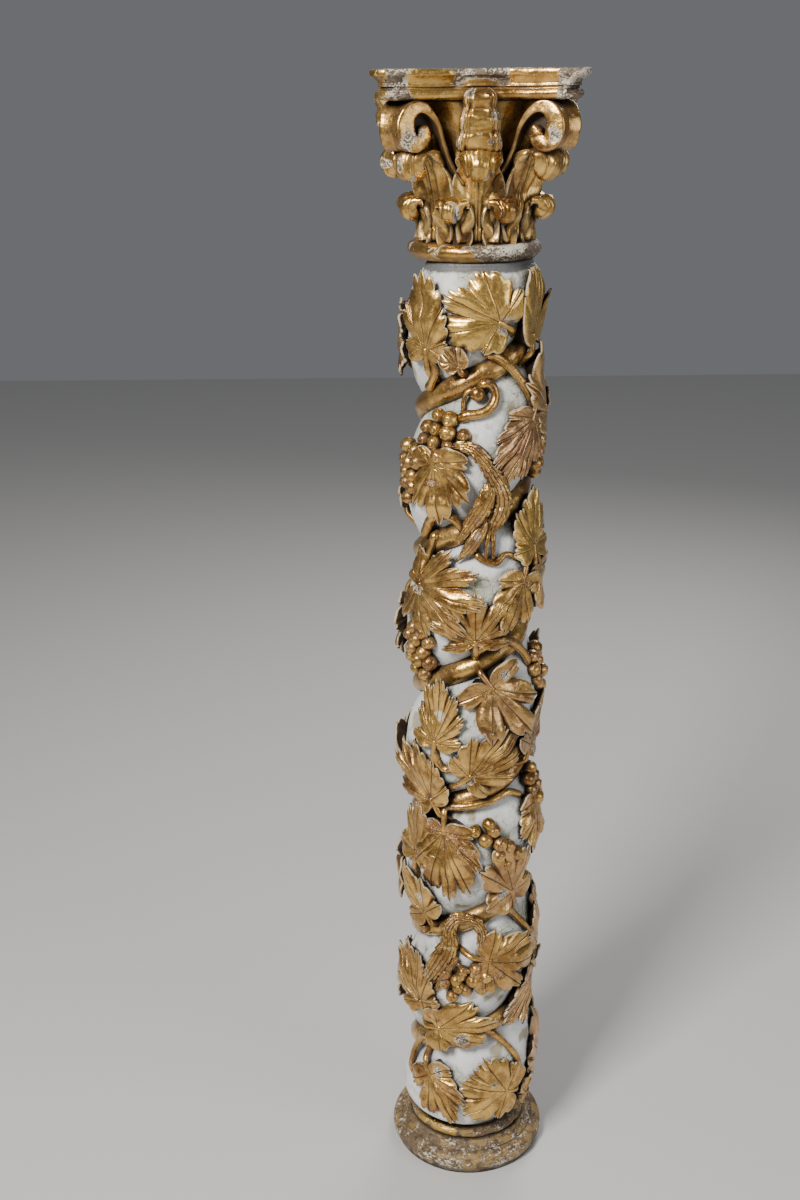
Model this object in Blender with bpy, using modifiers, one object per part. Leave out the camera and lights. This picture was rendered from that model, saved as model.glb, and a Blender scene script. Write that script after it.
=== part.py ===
"""A carved, painted and gilded barley twist column with a Corinthian capital.

Metres, +Z up. The origin is the middle of the base's underside, and the front faces -Y.
Three pieces stand on each other by their weight: the turned base, the twisted shaft with
the vine carved on it, and the capital with its astragal.
"""
import math
from itertools import pairwise

import bmesh
import bpy
from mathutils import Matrix, Vector

# Heights of the three pieces, and the gap that touching faces keep
BASE_HEIGHT = 0.060
SHAFT_HEIGHT = 1.270
CAPITAL_HEIGHT = 0.220
JOINT_GAP = 0.0003

# The base: a torus, a hollow and a ring, turned
BASE_RADIUS = 0.114
TORUS_HEIGHT = 0.032
RING_HEIGHT = 0.016
RING_OVERHANG = 0.012
RING_FILLET = 0.003
TORUS_FILLET = 0.004

# The shaft: the crest of the twist tapers upwards, and its ends are short plain necks
FOOT_CREST = 0.097
HEAD_CREST = 0.083
FOOT_NECK = 0.076
HEAD_NECK = 0.074
NECK_HEIGHT = 0.007
SHOULDER_HEIGHT = 0.026
TWIST_TURNS = 6.58
FIRST_GROOVE = 0.855
GROOVE_DEPTH = 0.032
GROOVE_SHARPNESS = 2.4
STEM_RADIUS = 0.0155
STEM_LIFT = 0.007

# The carving on the shaft. Leaves bridge the groove no deeper than their dip, and a root
# of each reaches down to a share of the groove's depth. Grapes and bars are sunk in the
# body, so that their middles stand out of it by a share of their radius.
LEAF_RELIEF = 0.013
LEAF_DIP = 0.008
LEAF_ROOT = 0.85
GRAPE_RADIUS = 0.0105
GRAPE_STANDING = 0.2
BRANCH_RADIUS = 0.0060
BIRD_RADIUS = 0.0078
BAR_STANDING = 0.3

# The capital
ASTRAGAL_HEIGHT = 0.022
ASTRAGAL_OVERHANG = 0.010
BELL_RADIUS = 0.066
BELL_LIP = 0.086
ABACUS_HEIGHT = 0.034
ABACUS_WIDTH = 0.253
ABACUS_HOLLOW = 0.022
ABACUS_CUT = 0.016
ACANTHUS_THICKNESS = 0.009
ACANTHUS_SINK = 0.002
LOWER_LEAF_WIDTH = 0.050
LOWER_LEAF_REACH = 0.096
UPPER_LEAF_WIDTH = 0.056
CORNER_LEAF_REACH = 0.132
FACE_LEAF_REACH = 0.120
SCROLL_THICKNESS = 0.009
CORNER_SCROLL_RADIUS = 0.030
CORNER_SCROLL_REACH = 0.157
CORNER_SCROLL_WIDTHS = (0.018, 0.030)
CORNER_SCROLL_SINK = 0.003
FACE_SCROLL_RADIUS = 0.021
FACE_SCROLL_REACH = 0.127
FACE_SCROLL_WIDTHS = (0.026, 0.040)
FACE_SCROLL_SINK = 0.011

# How finely the twist and the turned pieces are faceted, in steps of a full turn, and the
# angle below which neighbouring facets are joined
TWIST_COLUMNS = 18
NECK_STEPS = 20
BASE_STEPS = 24
EDGE_STEPS = 4
LEVEL_ANGLE = 6

SHAFT_BOTTOM = BASE_HEIGHT
SHAFT_TOP = SHAFT_BOTTOM + SHAFT_HEIGHT
CAPITAL_TOP = SHAFT_TOP + CAPITAL_HEIGHT
PITCH = SHAFT_HEIGHT / TWIST_TURNS
FULL_TURN = 2 * math.pi
LEAF_LOWEST = SHAFT_BOTTOM + NECK_HEIGHT
LEAF_HIGHEST = SHAFT_TOP - NECK_HEIGHT
# A helix's cross-section is this much narrower than its upright section
STEM_SLANT = math.cos(math.atan(PITCH / (FULL_TURN * (HEAD_CREST + FOOT_CREST) / 2)))


def new_collection(name):
    """A collection under the scene's own."""
    collection = bpy.data.collections.new(name)
    bpy.context.scene.collection.children.link(collection)
    return collection


def paint(name, colour, roughness, metallic):
    """A plain Principled material."""
    material = bpy.data.materials.new(name)
    material.use_nodes = True
    shader = material.node_tree.nodes["Principled BSDF"]
    shader.inputs["Base Color"].default_value = (*colour, 1.0)
    shader.inputs["Roughness"].default_value = roughness
    shader.inputs["Metallic"].default_value = metallic
    return material


def add_object(name, mesh, collection):
    """An object for a mesh, in one collection."""
    piece = bpy.data.objects.new(name, mesh)
    collection.objects.link(piece)
    return piece


def finish_mesh(name, shape, collection):
    """Turn a bmesh into an object, with its faces turned outwards."""
    bmesh.ops.recalc_face_normals(shape, faces=shape.faces)
    mesh = bpy.data.meshes.new(name)
    shape.to_mesh(mesh)
    shape.free()
    return add_object(name, mesh, collection)


def turned(name, profile, steps, collection):
    """A profile of (radius, height) points, from the top down, turned around the axis."""
    mesh = bpy.data.meshes.new(name)
    points = [(radius, 0.0, height) for radius, height in profile]
    mesh.from_pydata(points, [(at, at + 1) for at in range(len(points) - 1)], [])
    piece = add_object(name, mesh, collection)
    screw = piece.modifiers.new("Turn", "SCREW")
    screw.steps = steps
    screw.render_steps = steps
    screw.use_merge_vertices = True
    screw.merge_threshold = 0.00001
    return piece


def round_edge(radius, low, high, steps, sweep=180):
    """A round moulding in section, from its top edge down and round by a sweep in degrees."""
    half = (high - low) / 2
    points = []
    for step in range(steps + 1):
        turn = math.pi / 2 - math.radians(sweep) * step / steps
        points.append((radius - half + half * math.cos(turn), low + half + half * math.sin(turn)))
    return points


def loft(name, sections, collection):
    """A closed solid through rings of equal length, with flat ends."""
    shape = bmesh.new()
    rings = [[shape.verts.new(point) for point in section] for section in sections]
    count = len(rings[0])
    for low, high in pairwise(rings):
        for at in range(count):
            after = (at + 1) % count
            shape.faces.new((low[at], low[after], high[after], high[at]))
    ends = [shape.faces.new(rings[0]), shape.faces.new(rings[-1])]
    bmesh.ops.poke(shape, faces=ends)
    bmesh.ops.triangulate(shape, faces=shape.faces)
    return finish_mesh(name, shape, collection)


def unite(piece, extras):
    """Carve every object of a collection in one with the piece."""
    join = piece.modifiers.new("Carved in one", "BOOLEAN")
    join.operation = "UNION"
    join.operand_type = "COLLECTION"
    join.collection = extras
    for extra in extras.objects:
        extra.hide_render = True
        extra.display_type = "WIRE"
    tidy = piece.modifiers.new("Level facets joined", "DECIMATE")
    tidy.decimate_type = "DISSOLVE"
    tidy.angle_limit = math.radians(LEVEL_ANGLE)


def soften(piece, degrees):
    """Smooth shading, with an edge where the faces turn sharply."""
    piece.data.shade_smooth()
    piece.data.set_sharp_from_angle(angle=math.radians(degrees))


def around(angle, radius, height):
    """The point at an angle from the front, positive towards +X."""
    return Vector((radius * math.sin(angle), -radius * math.cos(angle), height))


def crest(height):
    """Radius of the twist's crest at a height."""
    share = (height - SHAFT_BOTTOM) / SHAFT_HEIGHT
    return FOOT_CREST + (HEAD_CREST - FOOT_CREST) * share


def groove_height(angle, turns):
    """Height of the groove at an angle, a number of turns above the first."""
    return SHAFT_BOTTOM + PITCH * (FIRST_GROOVE + turns + angle / FULL_TURN)


def body_radius(angle, height):
    """Radius of the twisted body: a round between grooves, and the vine's stem in the groove."""
    turns = (height - groove_height(angle, 0)) / PITCH
    share = turns - math.floor(turns)
    body = crest(height) - GROOVE_DEPTH * abs(2 * share - 1) ** GROOVE_SHARPNESS
    aside = min(share, 1 - share) * PITCH * STEM_SLANT
    if aside >= STEM_RADIUS:
        return body
    stem = STEM_LIFT + math.sqrt(STEM_RADIUS ** 2 - aside ** 2)
    return max(body, crest(height) - GROOVE_DEPTH + stem)


def twist_core(name, collection):
    """The twisted body, with rows of points that follow the helix, past both ends."""
    half_stem = STEM_RADIUS / (PITCH * STEM_SLANT)
    # shares of the pitch from one groove to the next, the same up and down from the crest
    rows = [0.0, half_stem, 0.16, 0.30]
    rows = rows + [0.5] + [1 - row for row in reversed(rows[1:])]
    lowest = -math.ceil(FIRST_GROOVE) - 1
    highest = math.ceil(TWIST_TURNS - FIRST_GROOVE)
    shape = bmesh.new()
    strip = []
    for turn in range(lowest, highest + 1):
        for row in rows:
            ring = []
            for column in range(TWIST_COLUMNS):
                angle = FULL_TURN * column / TWIST_COLUMNS
                height = groove_height(angle, turn + row)
                ring.append(shape.verts.new(around(angle, body_radius(angle, height), height)))
            strip.append(ring)
    per_turn = len(rows)
    last = len(strip) - per_turn - 1
    for at in range(last):
        for column in range(TWIST_COLUMNS - 1):
            shape.faces.new((strip[at][column], strip[at][column + 1],
                             strip[at + 1][column + 1], strip[at + 1][column]))
        shape.faces.new((strip[at][-1], strip[at + per_turn][0],
                         strip[at + per_turn + 1][0], strip[at + 1][-1]))
    foot_loop = strip[0] + [strip[at][0] for at in range(per_turn, 0, -1)]
    head_loop = strip[last] + [strip[at][0] for at in range(last + per_turn, last, -1)]
    for loop in (foot_loop, head_loop):
        centre = shape.verts.new((0.0, 0.0, sum(vert.co.z for vert in loop) / len(loop)))
        for near, far in pairwise(loop + loop[:1]):
            shape.faces.new((near, far, centre))
    loose = [vert for vert in shape.verts if not vert.link_faces]
    bmesh.ops.delete(shape, geom=loose, context="VERTS")
    bmesh.ops.triangulate(shape, faces=shape.faces)
    return finish_mesh(name, shape, collection)


def end_envelope(name, collection):
    """The turned outline that trims the twist to its necks and round shoulders."""
    low = SHAFT_BOTTOM + JOINT_GAP
    high = SHAFT_TOP - JOINT_GAP
    outside = FOOT_CREST + GROOVE_DEPTH
    profile = [(0.0, high), (HEAD_NECK, high), (HEAD_NECK, high - NECK_HEIGHT)]
    for share in (0.6, 1.0):
        rise = SHOULDER_HEIGHT * (1 - math.sqrt(1 - share ** 2))
        widen = (HEAD_CREST - HEAD_NECK) * share
        profile.append((HEAD_NECK + widen, high - NECK_HEIGHT - rise))
    profile.append((outside, high - NECK_HEIGHT - SHOULDER_HEIGHT - GROOVE_DEPTH))
    profile.append((outside, low + NECK_HEIGHT + SHOULDER_HEIGHT + GROOVE_DEPTH))
    for share in (1.0, 0.6):
        rise = SHOULDER_HEIGHT * (1 - math.sqrt(1 - share ** 2))
        widen = (FOOT_CREST - FOOT_NECK) * share
        profile.append((FOOT_NECK + widen, low + NECK_HEIGHT + rise))
    profile += [(FOOT_NECK, low + NECK_HEIGHT), (FOOT_NECK, low), (0.0, low)]
    return turned(name, profile, NECK_STEPS, collection)


# A vine leaf's outline around its heart: the turn from its tip in degrees, and how far out
# it lies along and across, as shares of the leaf's length and width. The heart lies at a
# share of the length from the leaf's foot. The relief is lowest at the heart and rises
# with the distance from it.
LEAF_OUTLINE = ((0, 0.70, 0.67), (26, 0.50, 0.48), (54, 0.62, 0.60), (84, 0.46, 0.44),
                (120, 0.46, 0.44), (180, 0.14, 0.13), (240, 0.46, 0.44), (276, 0.46, 0.44),
                (306, 0.62, 0.60), (334, 0.50, 0.48))
LEAF_HEART = 0.30
HEART_RELIEF = 0.70
EDGE_RELIEF = 0.55
EDGE_RISE = 0.70


def vine_leaf(name, spot, collection):
    """A five-lobed leaf bent around the body, its edges undercut down to a root in the body.

    A spot is the stalk's angle in degrees, its height in turns of the twist, the way the
    tip points (0 to the right, 90 up), and the leaf's length and width in turns.
    """
    degrees, turns, way, length, width = spot
    start = math.radians(degrees)
    foot = SHAFT_BOTTOM + turns * PITCH
    heading = math.radians(way)

    def place(along, across, lift):
        rise = along * math.sin(heading) + across * math.cos(heading)
        aside = along * math.cos(heading) - across * math.sin(heading)
        height = min(max(foot + rise * PITCH, LEAF_LOWEST), LEAF_HIGHEST)
        angle = start + aside * PITCH / crest(height)
        if lift is None:
            return around(angle, crest(height) - LEAF_ROOT * GROOVE_DEPTH, height)
        body = max(body_radius(angle, height), crest(height) - LEAF_DIP)
        return around(angle, body + lift, height)

    shape = bmesh.new()
    edge = []
    for turn, far, wide in LEAF_OUTLINE:
        along = LEAF_HEART + far * math.cos(math.radians(turn))
        across = wide * math.sin(math.radians(turn))
        lift = LEAF_RELIEF * (EDGE_RELIEF + EDGE_RISE * far)
        edge.append(shape.verts.new(place(along * length, across * width, lift)))
    heart = shape.verts.new(place(LEAF_HEART * length, 0.0, LEAF_RELIEF * HEART_RELIEF))
    root = shape.verts.new(place(LEAF_HEART * length, 0.0, None))
    for near, far in pairwise(edge + edge[:1]):
        shape.faces.new((near, far, heart))
        shape.faces.new((far, near, root))
    return finish_mesh(name, shape, collection)


# The front's leaves, from the head down: angle, turns, way, length and width of each
FRONT_LEAVES = (
    (-45, 6.00, 90, 0.50, 0.36), (20, 6.23, 160, 0.42, 0.47), (56, 6.12, 95, 0.40, 0.36),
    (84, 5.57, 110, 0.50, 0.38), (54, 5.61, -115, 0.46, 0.40), (-34, 5.35, -85, 0.42, 0.38),
    (59, 4.66, 90, 0.42, 0.36), (-53, 4.45, -10, 0.46, 0.54), (1, 4.06, 90, 0.38, 0.46),
    (43, 4.50, -110, 0.38, 0.35), (68, 4.54, -70, 0.37, 0.33), (-33, 3.28, 85, 0.52, 0.40),
    (13, 3.76, -55, 0.48, 0.46), (-6, 3.05, 40, 0.50, 0.42), (60, 3.17, 60, 0.44, 0.36),
    (-36, 2.81, 125, 0.50, 0.40), (-25, 2.65, -85, 0.56, 0.42), (69, 2.75, -100, 0.40, 0.32),
    (-53, 2.35, 87, 0.44, 0.36), (39, 2.06, 105, 0.50, 0.38), (-42, 1.88, 122, 0.40, 0.35),
    (83, 1.37, 90, 0.56, 0.36), (11, 1.58, -15, 0.50, 0.44), (-44, 1.10, 110, 0.50, 0.36),
    (-32, 0.94, 13, 0.44, 0.30), (84, 1.31, -140, 0.55, 0.34), (83, 0.35, 90, 0.48, 0.36),
    (-38, 0.53, -57, 0.44, 0.34), (34, 0.37, 160, 0.38, 0.40),
)


# The back's leaves: their angles, how far a foot is from the crest's middle and how far a
# leaf keeps from the shaft's ends, in turns of the twist, and their length and width
BACK_ANGLES = (130, 182, 234)
BACK_FOOT = 0.16
BACK_FROM_FOOT = 0.42
BACK_FROM_HEAD = 0.32
BACK_LEAF = (0.44, 0.42)


def back_leaves():
    """Plainer leaves in a rhythm on the round between the grooves, where the front ends."""
    spots = []
    for turn in range(-1, math.ceil(TWIST_TURNS)):
        for step, degrees in enumerate(BACK_ANGLES):
            middle = FIRST_GROOVE + degrees / 360 + turn + 0.5
            if not BACK_FROM_FOOT < middle < TWIST_TURNS - BACK_FROM_HEAD:
                continue
            if (turn + step) % 2:
                spots.append((degrees, middle + BACK_FOOT, -75, *BACK_LEAF))
            else:
                spots.append((degrees, middle - BACK_FOOT, 105, *BACK_LEAF))
    return spots


# Places of a bunch's grapes along and across it, in grape radii
GRAPE_PLACES = ((-0.9, -1.05), (-0.9, 1.05), (0.9, -1.05), (0.9, 1.05), (2.6, 0.0))

# Bunches of grapes: angle, turns, and the way the bunch hangs
GRAPE_BUNCHES = (
    (-25, 5.52, -100), (-66, 5.30, -90), (-52, 4.05, -95), (80, 3.75, -80),
    (13, 2.58, -50), (-2, 1.44, -80), (156, 4.85, -90),
)


def grape_bunch(name, bunch, collection):
    """Grapes half sunk in the body, two and two and one at the bunch's tip."""
    degrees, turns, way = bunch
    heading = math.radians(way)
    for index, (along, across) in enumerate(GRAPE_PLACES):
        rise = (along * math.sin(heading) + across * math.cos(heading)) * GRAPE_RADIUS
        aside = (along * math.cos(heading) - across * math.sin(heading)) * GRAPE_RADIUS
        height = SHAFT_BOTTOM + turns * PITCH + rise
        angle = math.radians(degrees) + aside / crest(height)
        radius = body_radius(angle, height) + GRAPE_STANDING * GRAPE_RADIUS
        shape = bmesh.new()
        place = Matrix.Translation(around(angle, radius, height))
        turn = Matrix.Rotation(0.9 * index + angle, 4, "Z")
        bmesh.ops.create_icosphere(shape, subdivisions=1, radius=GRAPE_RADIUS,
                                   matrix=place @ turn)
        finish_mesh(f"{name}_{index + 1}", shape, collection)


# Branches off the stem: points of angle and turns, and the thickness in branch radii
BRANCHES = (
    (1.0, ((10, 6.02), (28, 5.97), (48, 5.80), (57, 5.58))),
    (0.9, ((-12, 5.62), (4, 5.64), (15, 5.73), (12, 5.85), (2, 5.82))),
    (1.0, ((-52, 4.78), (-42, 4.93), (-26, 4.94), (-12, 4.80))),
    (1.1, ((4, 4.00), (24, 4.08), (48, 3.98), (70, 3.78))),
    (0.9, ((-26, 2.78), (5, 2.83), (32, 2.89), (60, 2.78))),
    (0.9, ((24, 2.02), (44, 1.88), (66, 1.60), (74, 1.36))),
    (0.9, ((12, 0.95), (32, 0.80), (46, 0.62), (38, 0.40))),
    (0.9, ((-32, 0.78), (-52, 0.76), (-66, 0.55), (-66, 0.32))),
)

# Two birds pecking at grapes: points of angle, turns and thickness, from the beak to the tail
BIRDS = (
    ((-20, 5.42, 0.2), (-10, 5.43, 0.9), (4, 5.40, 1.2), (15, 5.28, 1.5), (18, 5.12, 2.2),
     (12, 4.96, 1.9), (-2, 4.84, 1.0), (-13, 4.72, 0.6)),
    ((8, 1.62, 0.2), (9, 1.76, 0.9), (-1, 1.90, 1.2), (-14, 1.90, 1.2), (-22, 1.78, 1.7),
     (-28, 1.62, 2.0), (-38, 1.44, 1.3), (-46, 1.28, 0.6)),
)


def tube(name, points, thickness, collection):
    """A round bar through points of angle, turns and relative thickness, as a closed mesh."""
    curve = bpy.data.curves.new(name, "CURVE")
    curve.dimensions = "3D"
    curve.bevel_depth = thickness
    curve.bevel_resolution = 1
    curve.use_fill_caps = True
    spline = curve.splines.new("POLY")
    spline.points.add(len(points) - 1)
    for at, (degrees, turns, share) in enumerate(points):
        angle = math.radians(degrees)
        height = SHAFT_BOTTOM + turns * PITCH
        radius = body_radius(angle, height)
        if 0 < at < len(points) - 1:
            radius = max(radius, crest(height) - LEAF_DIP) + BAR_STANDING * thickness * share
        spline.points[at].co = (*around(angle, radius, height), 1.0)
        spline.points[at].radius = share
    guide = add_object(name, curve, collection)
    bpy.context.view_layer.update()
    ready = guide.evaluated_get(bpy.context.evaluated_depsgraph_get())
    mesh = bpy.data.meshes.new_from_object(ready)
    collection.objects.unlink(guide)
    bpy.data.objects.remove(guide)
    shape = bmesh.new()
    shape.from_mesh(mesh)
    bmesh.ops.remove_doubles(shape, verts=shape.verts, dist=0.00001)
    bpy.data.meshes.remove(mesh)
    return finish_mesh(name, shape, collection)


def make_base(collection):
    """The turned base under the shaft."""
    ring = FOOT_NECK + RING_OVERHANG
    ring_bottom = BASE_HEIGHT - RING_HEIGHT
    profile = [(0.0, BASE_HEIGHT)]
    profile += round_edge(ring, ring_bottom, BASE_HEIGHT, EDGE_STEPS)
    profile += [(ring + RING_FILLET, ring_bottom - RING_FILLET)]
    profile += [((ring + BASE_RADIUS) / 2, TORUS_HEIGHT + TORUS_FILLET)]
    profile += round_edge(BASE_RADIUS, 0.0, TORUS_HEIGHT, EDGE_STEPS, 120)
    profile += [(BASE_RADIUS - TORUS_HEIGHT * 0.2, 0.0), (0.0, 0.0)]
    base = turned("base", profile, BASE_STEPS, collection)
    soften(base, 50)
    return base


def make_shaft(collection, carving, cutters):
    """The twisted shaft and everything carved in one with it."""
    shaft = twist_core("shaft", collection)
    trim = shaft.modifiers.new("Necks and shoulders", "BOOLEAN")
    trim.operation = "INTERSECT"
    trim.object = end_envelope("shaft_envelope", cutters)
    trim.object.hide_render = True
    trim.object.display_type = "WIRE"
    for index, spot in enumerate(list(FRONT_LEAVES) + back_leaves()):
        vine_leaf(f"leaf_{index + 1}", spot, carving)
    for index, bunch in enumerate(GRAPE_BUNCHES):
        grape_bunch(f"grape_{index + 1}", bunch, carving)
    for index, (share, points) in enumerate(BRANCHES):
        route = [(degrees, turns, share) for degrees, turns in points]
        tube(f"branch_{index + 1}", route, BRANCH_RADIUS, carving)
    for index, points in enumerate(BIRDS):
        tube(f"bird_{index + 1}", points, BIRD_RADIUS, carving)
    unite(shaft, carving)
    return shaft


def abacus_ring(inset, height):
    """The abacus in plan: four hollow sides between cut corners, drawn in by an inset."""
    half = ABACUS_WIDTH / 2 - inset
    corner = half - ABACUS_CUT
    points = []
    for side in range(4):
        spin = Matrix.Rotation(side * math.pi / 2, 3, "Z")
        for step in range(5):
            share = step / 2 - 1
            hollow = ABACUS_HOLLOW * (1 - share ** 2)
            points.append(spin @ Vector((corner * share, hollow - half, height)))
    return points


# How far the abacus stands back at each share of its height: ovolo, groove and fascia
ABACUS_LEVELS = ((0.016, 0.0), (0.006, 0.25), (0.012, 0.46), (0.006, 0.55), (0.0, 1.0))


def make_abacus(name, collection):
    """The abacus: an ovolo below, a groove and a flared fascia on top."""
    low = CAPITAL_TOP - ABACUS_HEIGHT
    rings = [abacus_ring(inset, low + ABACUS_HEIGHT * share) for inset, share in ABACUS_LEVELS]
    return loft(name, rings, collection)


def bell_radius(share):
    """Radius of the bell at a share of its height."""
    return BELL_RADIUS + (BELL_LIP - BELL_RADIUS) * share ** 3


# An acanthus leaf's spine: share of its reach, of its height and of its width
ACANTHUS_ROUTE = (
    (0.00, 0.00, 0.70), (0.12, 0.50, 1.00), (0.42, 0.88, 1.00), (0.80, 0.97, 0.95),
    (1.00, 0.82, 0.80), (0.88, 0.66, 0.40),
)


def acanthus(name, degrees, foot, height, width, reach, collection):
    """One acanthus leaf: it climbs the bell, leans out and curls over at its tip."""
    angle = math.radians(degrees)
    outward = around(angle, 1.0, 0.0)
    across = around(angle + math.pi / 2, 1.0, 0.0)
    up = Vector((0.0, 0.0, 1.0))
    spine = [outward * (BELL_RADIUS + (reach - BELL_RADIUS) * away)
             + up * (foot + height * rise) for away, rise, _ in ACANTHUS_ROUTE]
    sections = []
    for at, (_, _, share) in enumerate(ACANTHUS_ROUTE):
        ahead = spine[min(at + 1, len(spine) - 1)] - spine[max(at - 1, 0)]
        face = ahead.cross(across).normalized()
        half = across * (width * share / 2)
        middle = spine[at]
        sections.append([middle - half, middle + face * ACANTHUS_THICKNESS * 0.7,
                         middle + half, middle - face * ACANTHUS_THICKNESS])
    return loft(name, sections, collection)


# How a scroll climbs: share of the way out to its roll, and of the way up to the middle;
# each further step turns it by these degrees and draws it in by this share of its radius
SCROLL_CLIMB = ((0.0, 0.0), (0.10, 0.55))
SCROLL_BEND = (0.45, 0.60)
SCROLL_TURN = 60
SCROLL_SHRINK = 0.085


def scroll(name, degrees, low, top, reach, size, widths, steps, collection):
    """A ribbon that rises off the bell and rolls up outwards in a vertical plane.

    The roll's top and reach place its outside, the size is its radius, and the widths are
    the ribbon's at the bell and on the roll.
    """
    centre_radius = reach - size
    centre_height = top - size
    angle = math.radians(degrees)
    outward = around(angle, 1.0, 0.0)
    across = around(angle + math.pi / 2, 1.0, 0.0)
    up = Vector((0.0, 0.0, 1.0))
    middle = size - SCROLL_THICKNESS / 2
    span = centre_radius - BELL_RADIUS
    route = [(BELL_RADIUS + span * out, low + (centre_height - low) * up_share)
             for out, up_share in SCROLL_CLIMB]
    route.append((BELL_RADIUS + span * SCROLL_BEND[0],
                  centre_height + middle * SCROLL_BEND[1]))
    for step in range(steps + 1):
        turn = math.radians(90 - SCROLL_TURN * step)
        far = middle * (1 - SCROLL_SHRINK * step)
        route.append((centre_radius + far * math.cos(turn), centre_height + far * math.sin(turn)))
    sections = []
    for at, (radius, height) in enumerate(route):
        before = route[max(at - 1, 0)]
        after = route[min(at + 1, len(route) - 1)]
        ahead = (outward * (after[0] - before[0]) + up * (after[1] - before[1])).normalized()
        face = across.cross(ahead)
        share = min(at / 4, 1.0)
        half = across * ((widths[0] + (widths[1] - widths[0]) * share) / 2)
        thick = face * (SCROLL_THICKNESS / 2)
        spot = outward * radius + up * height
        sections.append([spot - half + thick, spot + half + thick,
                         spot + half - thick, spot - half - thick])
    return loft(name, sections, collection)


# Shares of the bell's height: the upper leaves' feet, how far each row rises, and where
# the scrolls leave the bell
LOWER_LEAF_RISE = 0.26
UPPER_LEAF_FOOT = 0.10
UPPER_LEAF_RISE = 0.56
SCROLL_FOOT = 0.30


def make_capital(collection, carving):
    """The capital: bell, astragal, two rows of leaves, scrolls and the abacus in one."""
    low = SHAFT_TOP + JOINT_GAP
    bell_bottom = low + ASTRAGAL_HEIGHT
    abacus_bottom = CAPITAL_TOP - ABACUS_HEIGHT
    bell_height = abacus_bottom - bell_bottom
    inside = abacus_bottom + ABACUS_HEIGHT * 0.3
    profile = [(0.0, inside), (bell_radius(1.0) * 0.9, inside)]
    profile += [(bell_radius(share), bell_bottom + bell_height * share)
                for share in (0.99, 0.85, 0.6, 0.0)]
    profile += round_edge(HEAD_NECK + ASTRAGAL_OVERHANG, low, bell_bottom, EDGE_STEPS)
    profile += [(0.0, low)]
    capital = turned("capital", profile, NECK_STEPS, collection)
    make_abacus("abacus", carving)
    for index in range(8):
        acanthus(f"lower_leaf_{index + 1}", 22.5 + 45 * index, bell_bottom - ACANTHUS_SINK,
                 bell_height * LOWER_LEAF_RISE, LOWER_LEAF_WIDTH, LOWER_LEAF_REACH, carving)
    for index in range(8):
        reach = CORNER_LEAF_REACH if index % 2 else FACE_LEAF_REACH
        acanthus(f"upper_leaf_{index + 1}", 45 * index,
                 bell_bottom + bell_height * UPPER_LEAF_FOOT, bell_height * UPPER_LEAF_RISE,
                 UPPER_LEAF_WIDTH, reach, carving)
    scroll_foot = bell_bottom + bell_height * SCROLL_FOOT
    for index in range(4):
        scroll(f"corner_scroll_{index + 1}", 45 + 90 * index, scroll_foot,
               abacus_bottom + CORNER_SCROLL_SINK, CORNER_SCROLL_REACH,
               CORNER_SCROLL_RADIUS, CORNER_SCROLL_WIDTHS, 7, carving)
        scroll(f"face_scroll_{index + 1}", 90 * index, scroll_foot,
               abacus_bottom + FACE_SCROLL_SINK, FACE_SCROLL_REACH,
               FACE_SCROLL_RADIUS, FACE_SCROLL_WIDTHS, 4, carving)
    unite(capital, carving)
    return capital


for leftover in list(bpy.data.objects):
    bpy.data.objects.remove(leftover)

column = new_collection("barley_twist_column")
shaft_carving = new_collection("shaft_carving")
capital_carving = new_collection("capital_carving")
cutter_shapes = new_collection("cutters")

worn_wood = paint("worn_gesso_and_wood", (0.42, 0.34, 0.24), 0.75, 0.0)
gilded_wood = paint("gilded_and_painted_wood", (0.62, 0.45, 0.20), 0.45, 0.6)
gilding = paint("gilding", (0.66, 0.44, 0.14), 0.38, 0.85)

make_base(column).data.materials.append(worn_wood)
make_shaft(column, shaft_carving, cutter_shapes).data.materials.append(gilded_wood)
make_capital(column, capital_carving).data.materials.append(gilding)
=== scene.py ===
"""Looks of a carved, painted and gilded barley twist column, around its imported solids.

Metres, +Z up, front towards -Y. Heights on the shaft are often given in turns of the twist
above its foot, and angles in degrees from the front, positive towards +X.
"""
import itertools
import math

import bpy
import numpy as np
from mathutils import Matrix, Vector


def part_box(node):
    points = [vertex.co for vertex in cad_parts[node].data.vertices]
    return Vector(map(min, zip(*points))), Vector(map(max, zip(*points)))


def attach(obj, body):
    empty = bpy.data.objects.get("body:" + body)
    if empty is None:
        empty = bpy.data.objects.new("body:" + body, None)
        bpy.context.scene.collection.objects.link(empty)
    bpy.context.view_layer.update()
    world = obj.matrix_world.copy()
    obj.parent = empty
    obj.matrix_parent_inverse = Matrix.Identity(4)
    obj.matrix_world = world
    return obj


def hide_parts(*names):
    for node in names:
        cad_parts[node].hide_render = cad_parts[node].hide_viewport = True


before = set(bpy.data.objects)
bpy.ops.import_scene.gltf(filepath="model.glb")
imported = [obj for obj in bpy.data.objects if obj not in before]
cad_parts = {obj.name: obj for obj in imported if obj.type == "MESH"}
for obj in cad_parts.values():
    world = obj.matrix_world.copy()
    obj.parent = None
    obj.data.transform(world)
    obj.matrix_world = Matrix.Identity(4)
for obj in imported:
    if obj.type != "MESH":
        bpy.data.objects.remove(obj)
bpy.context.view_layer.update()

# The camera stands where the photographer stood: level with the column's top, 1.8 m off and
# 3 degrees round to the left. It looks 20 degrees down and a little to the column's left.
EYE_DISTANCE = 1.82
EYE_HEIGHT = 1.536
EYE_ROUND = math.radians(-3.0)
LOOK_DOWN = math.radians(20.0)
LOOK_LEFT = math.radians(3.05)
TILT = math.radians(-0.52)
LENS_MM = 42.7

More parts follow.
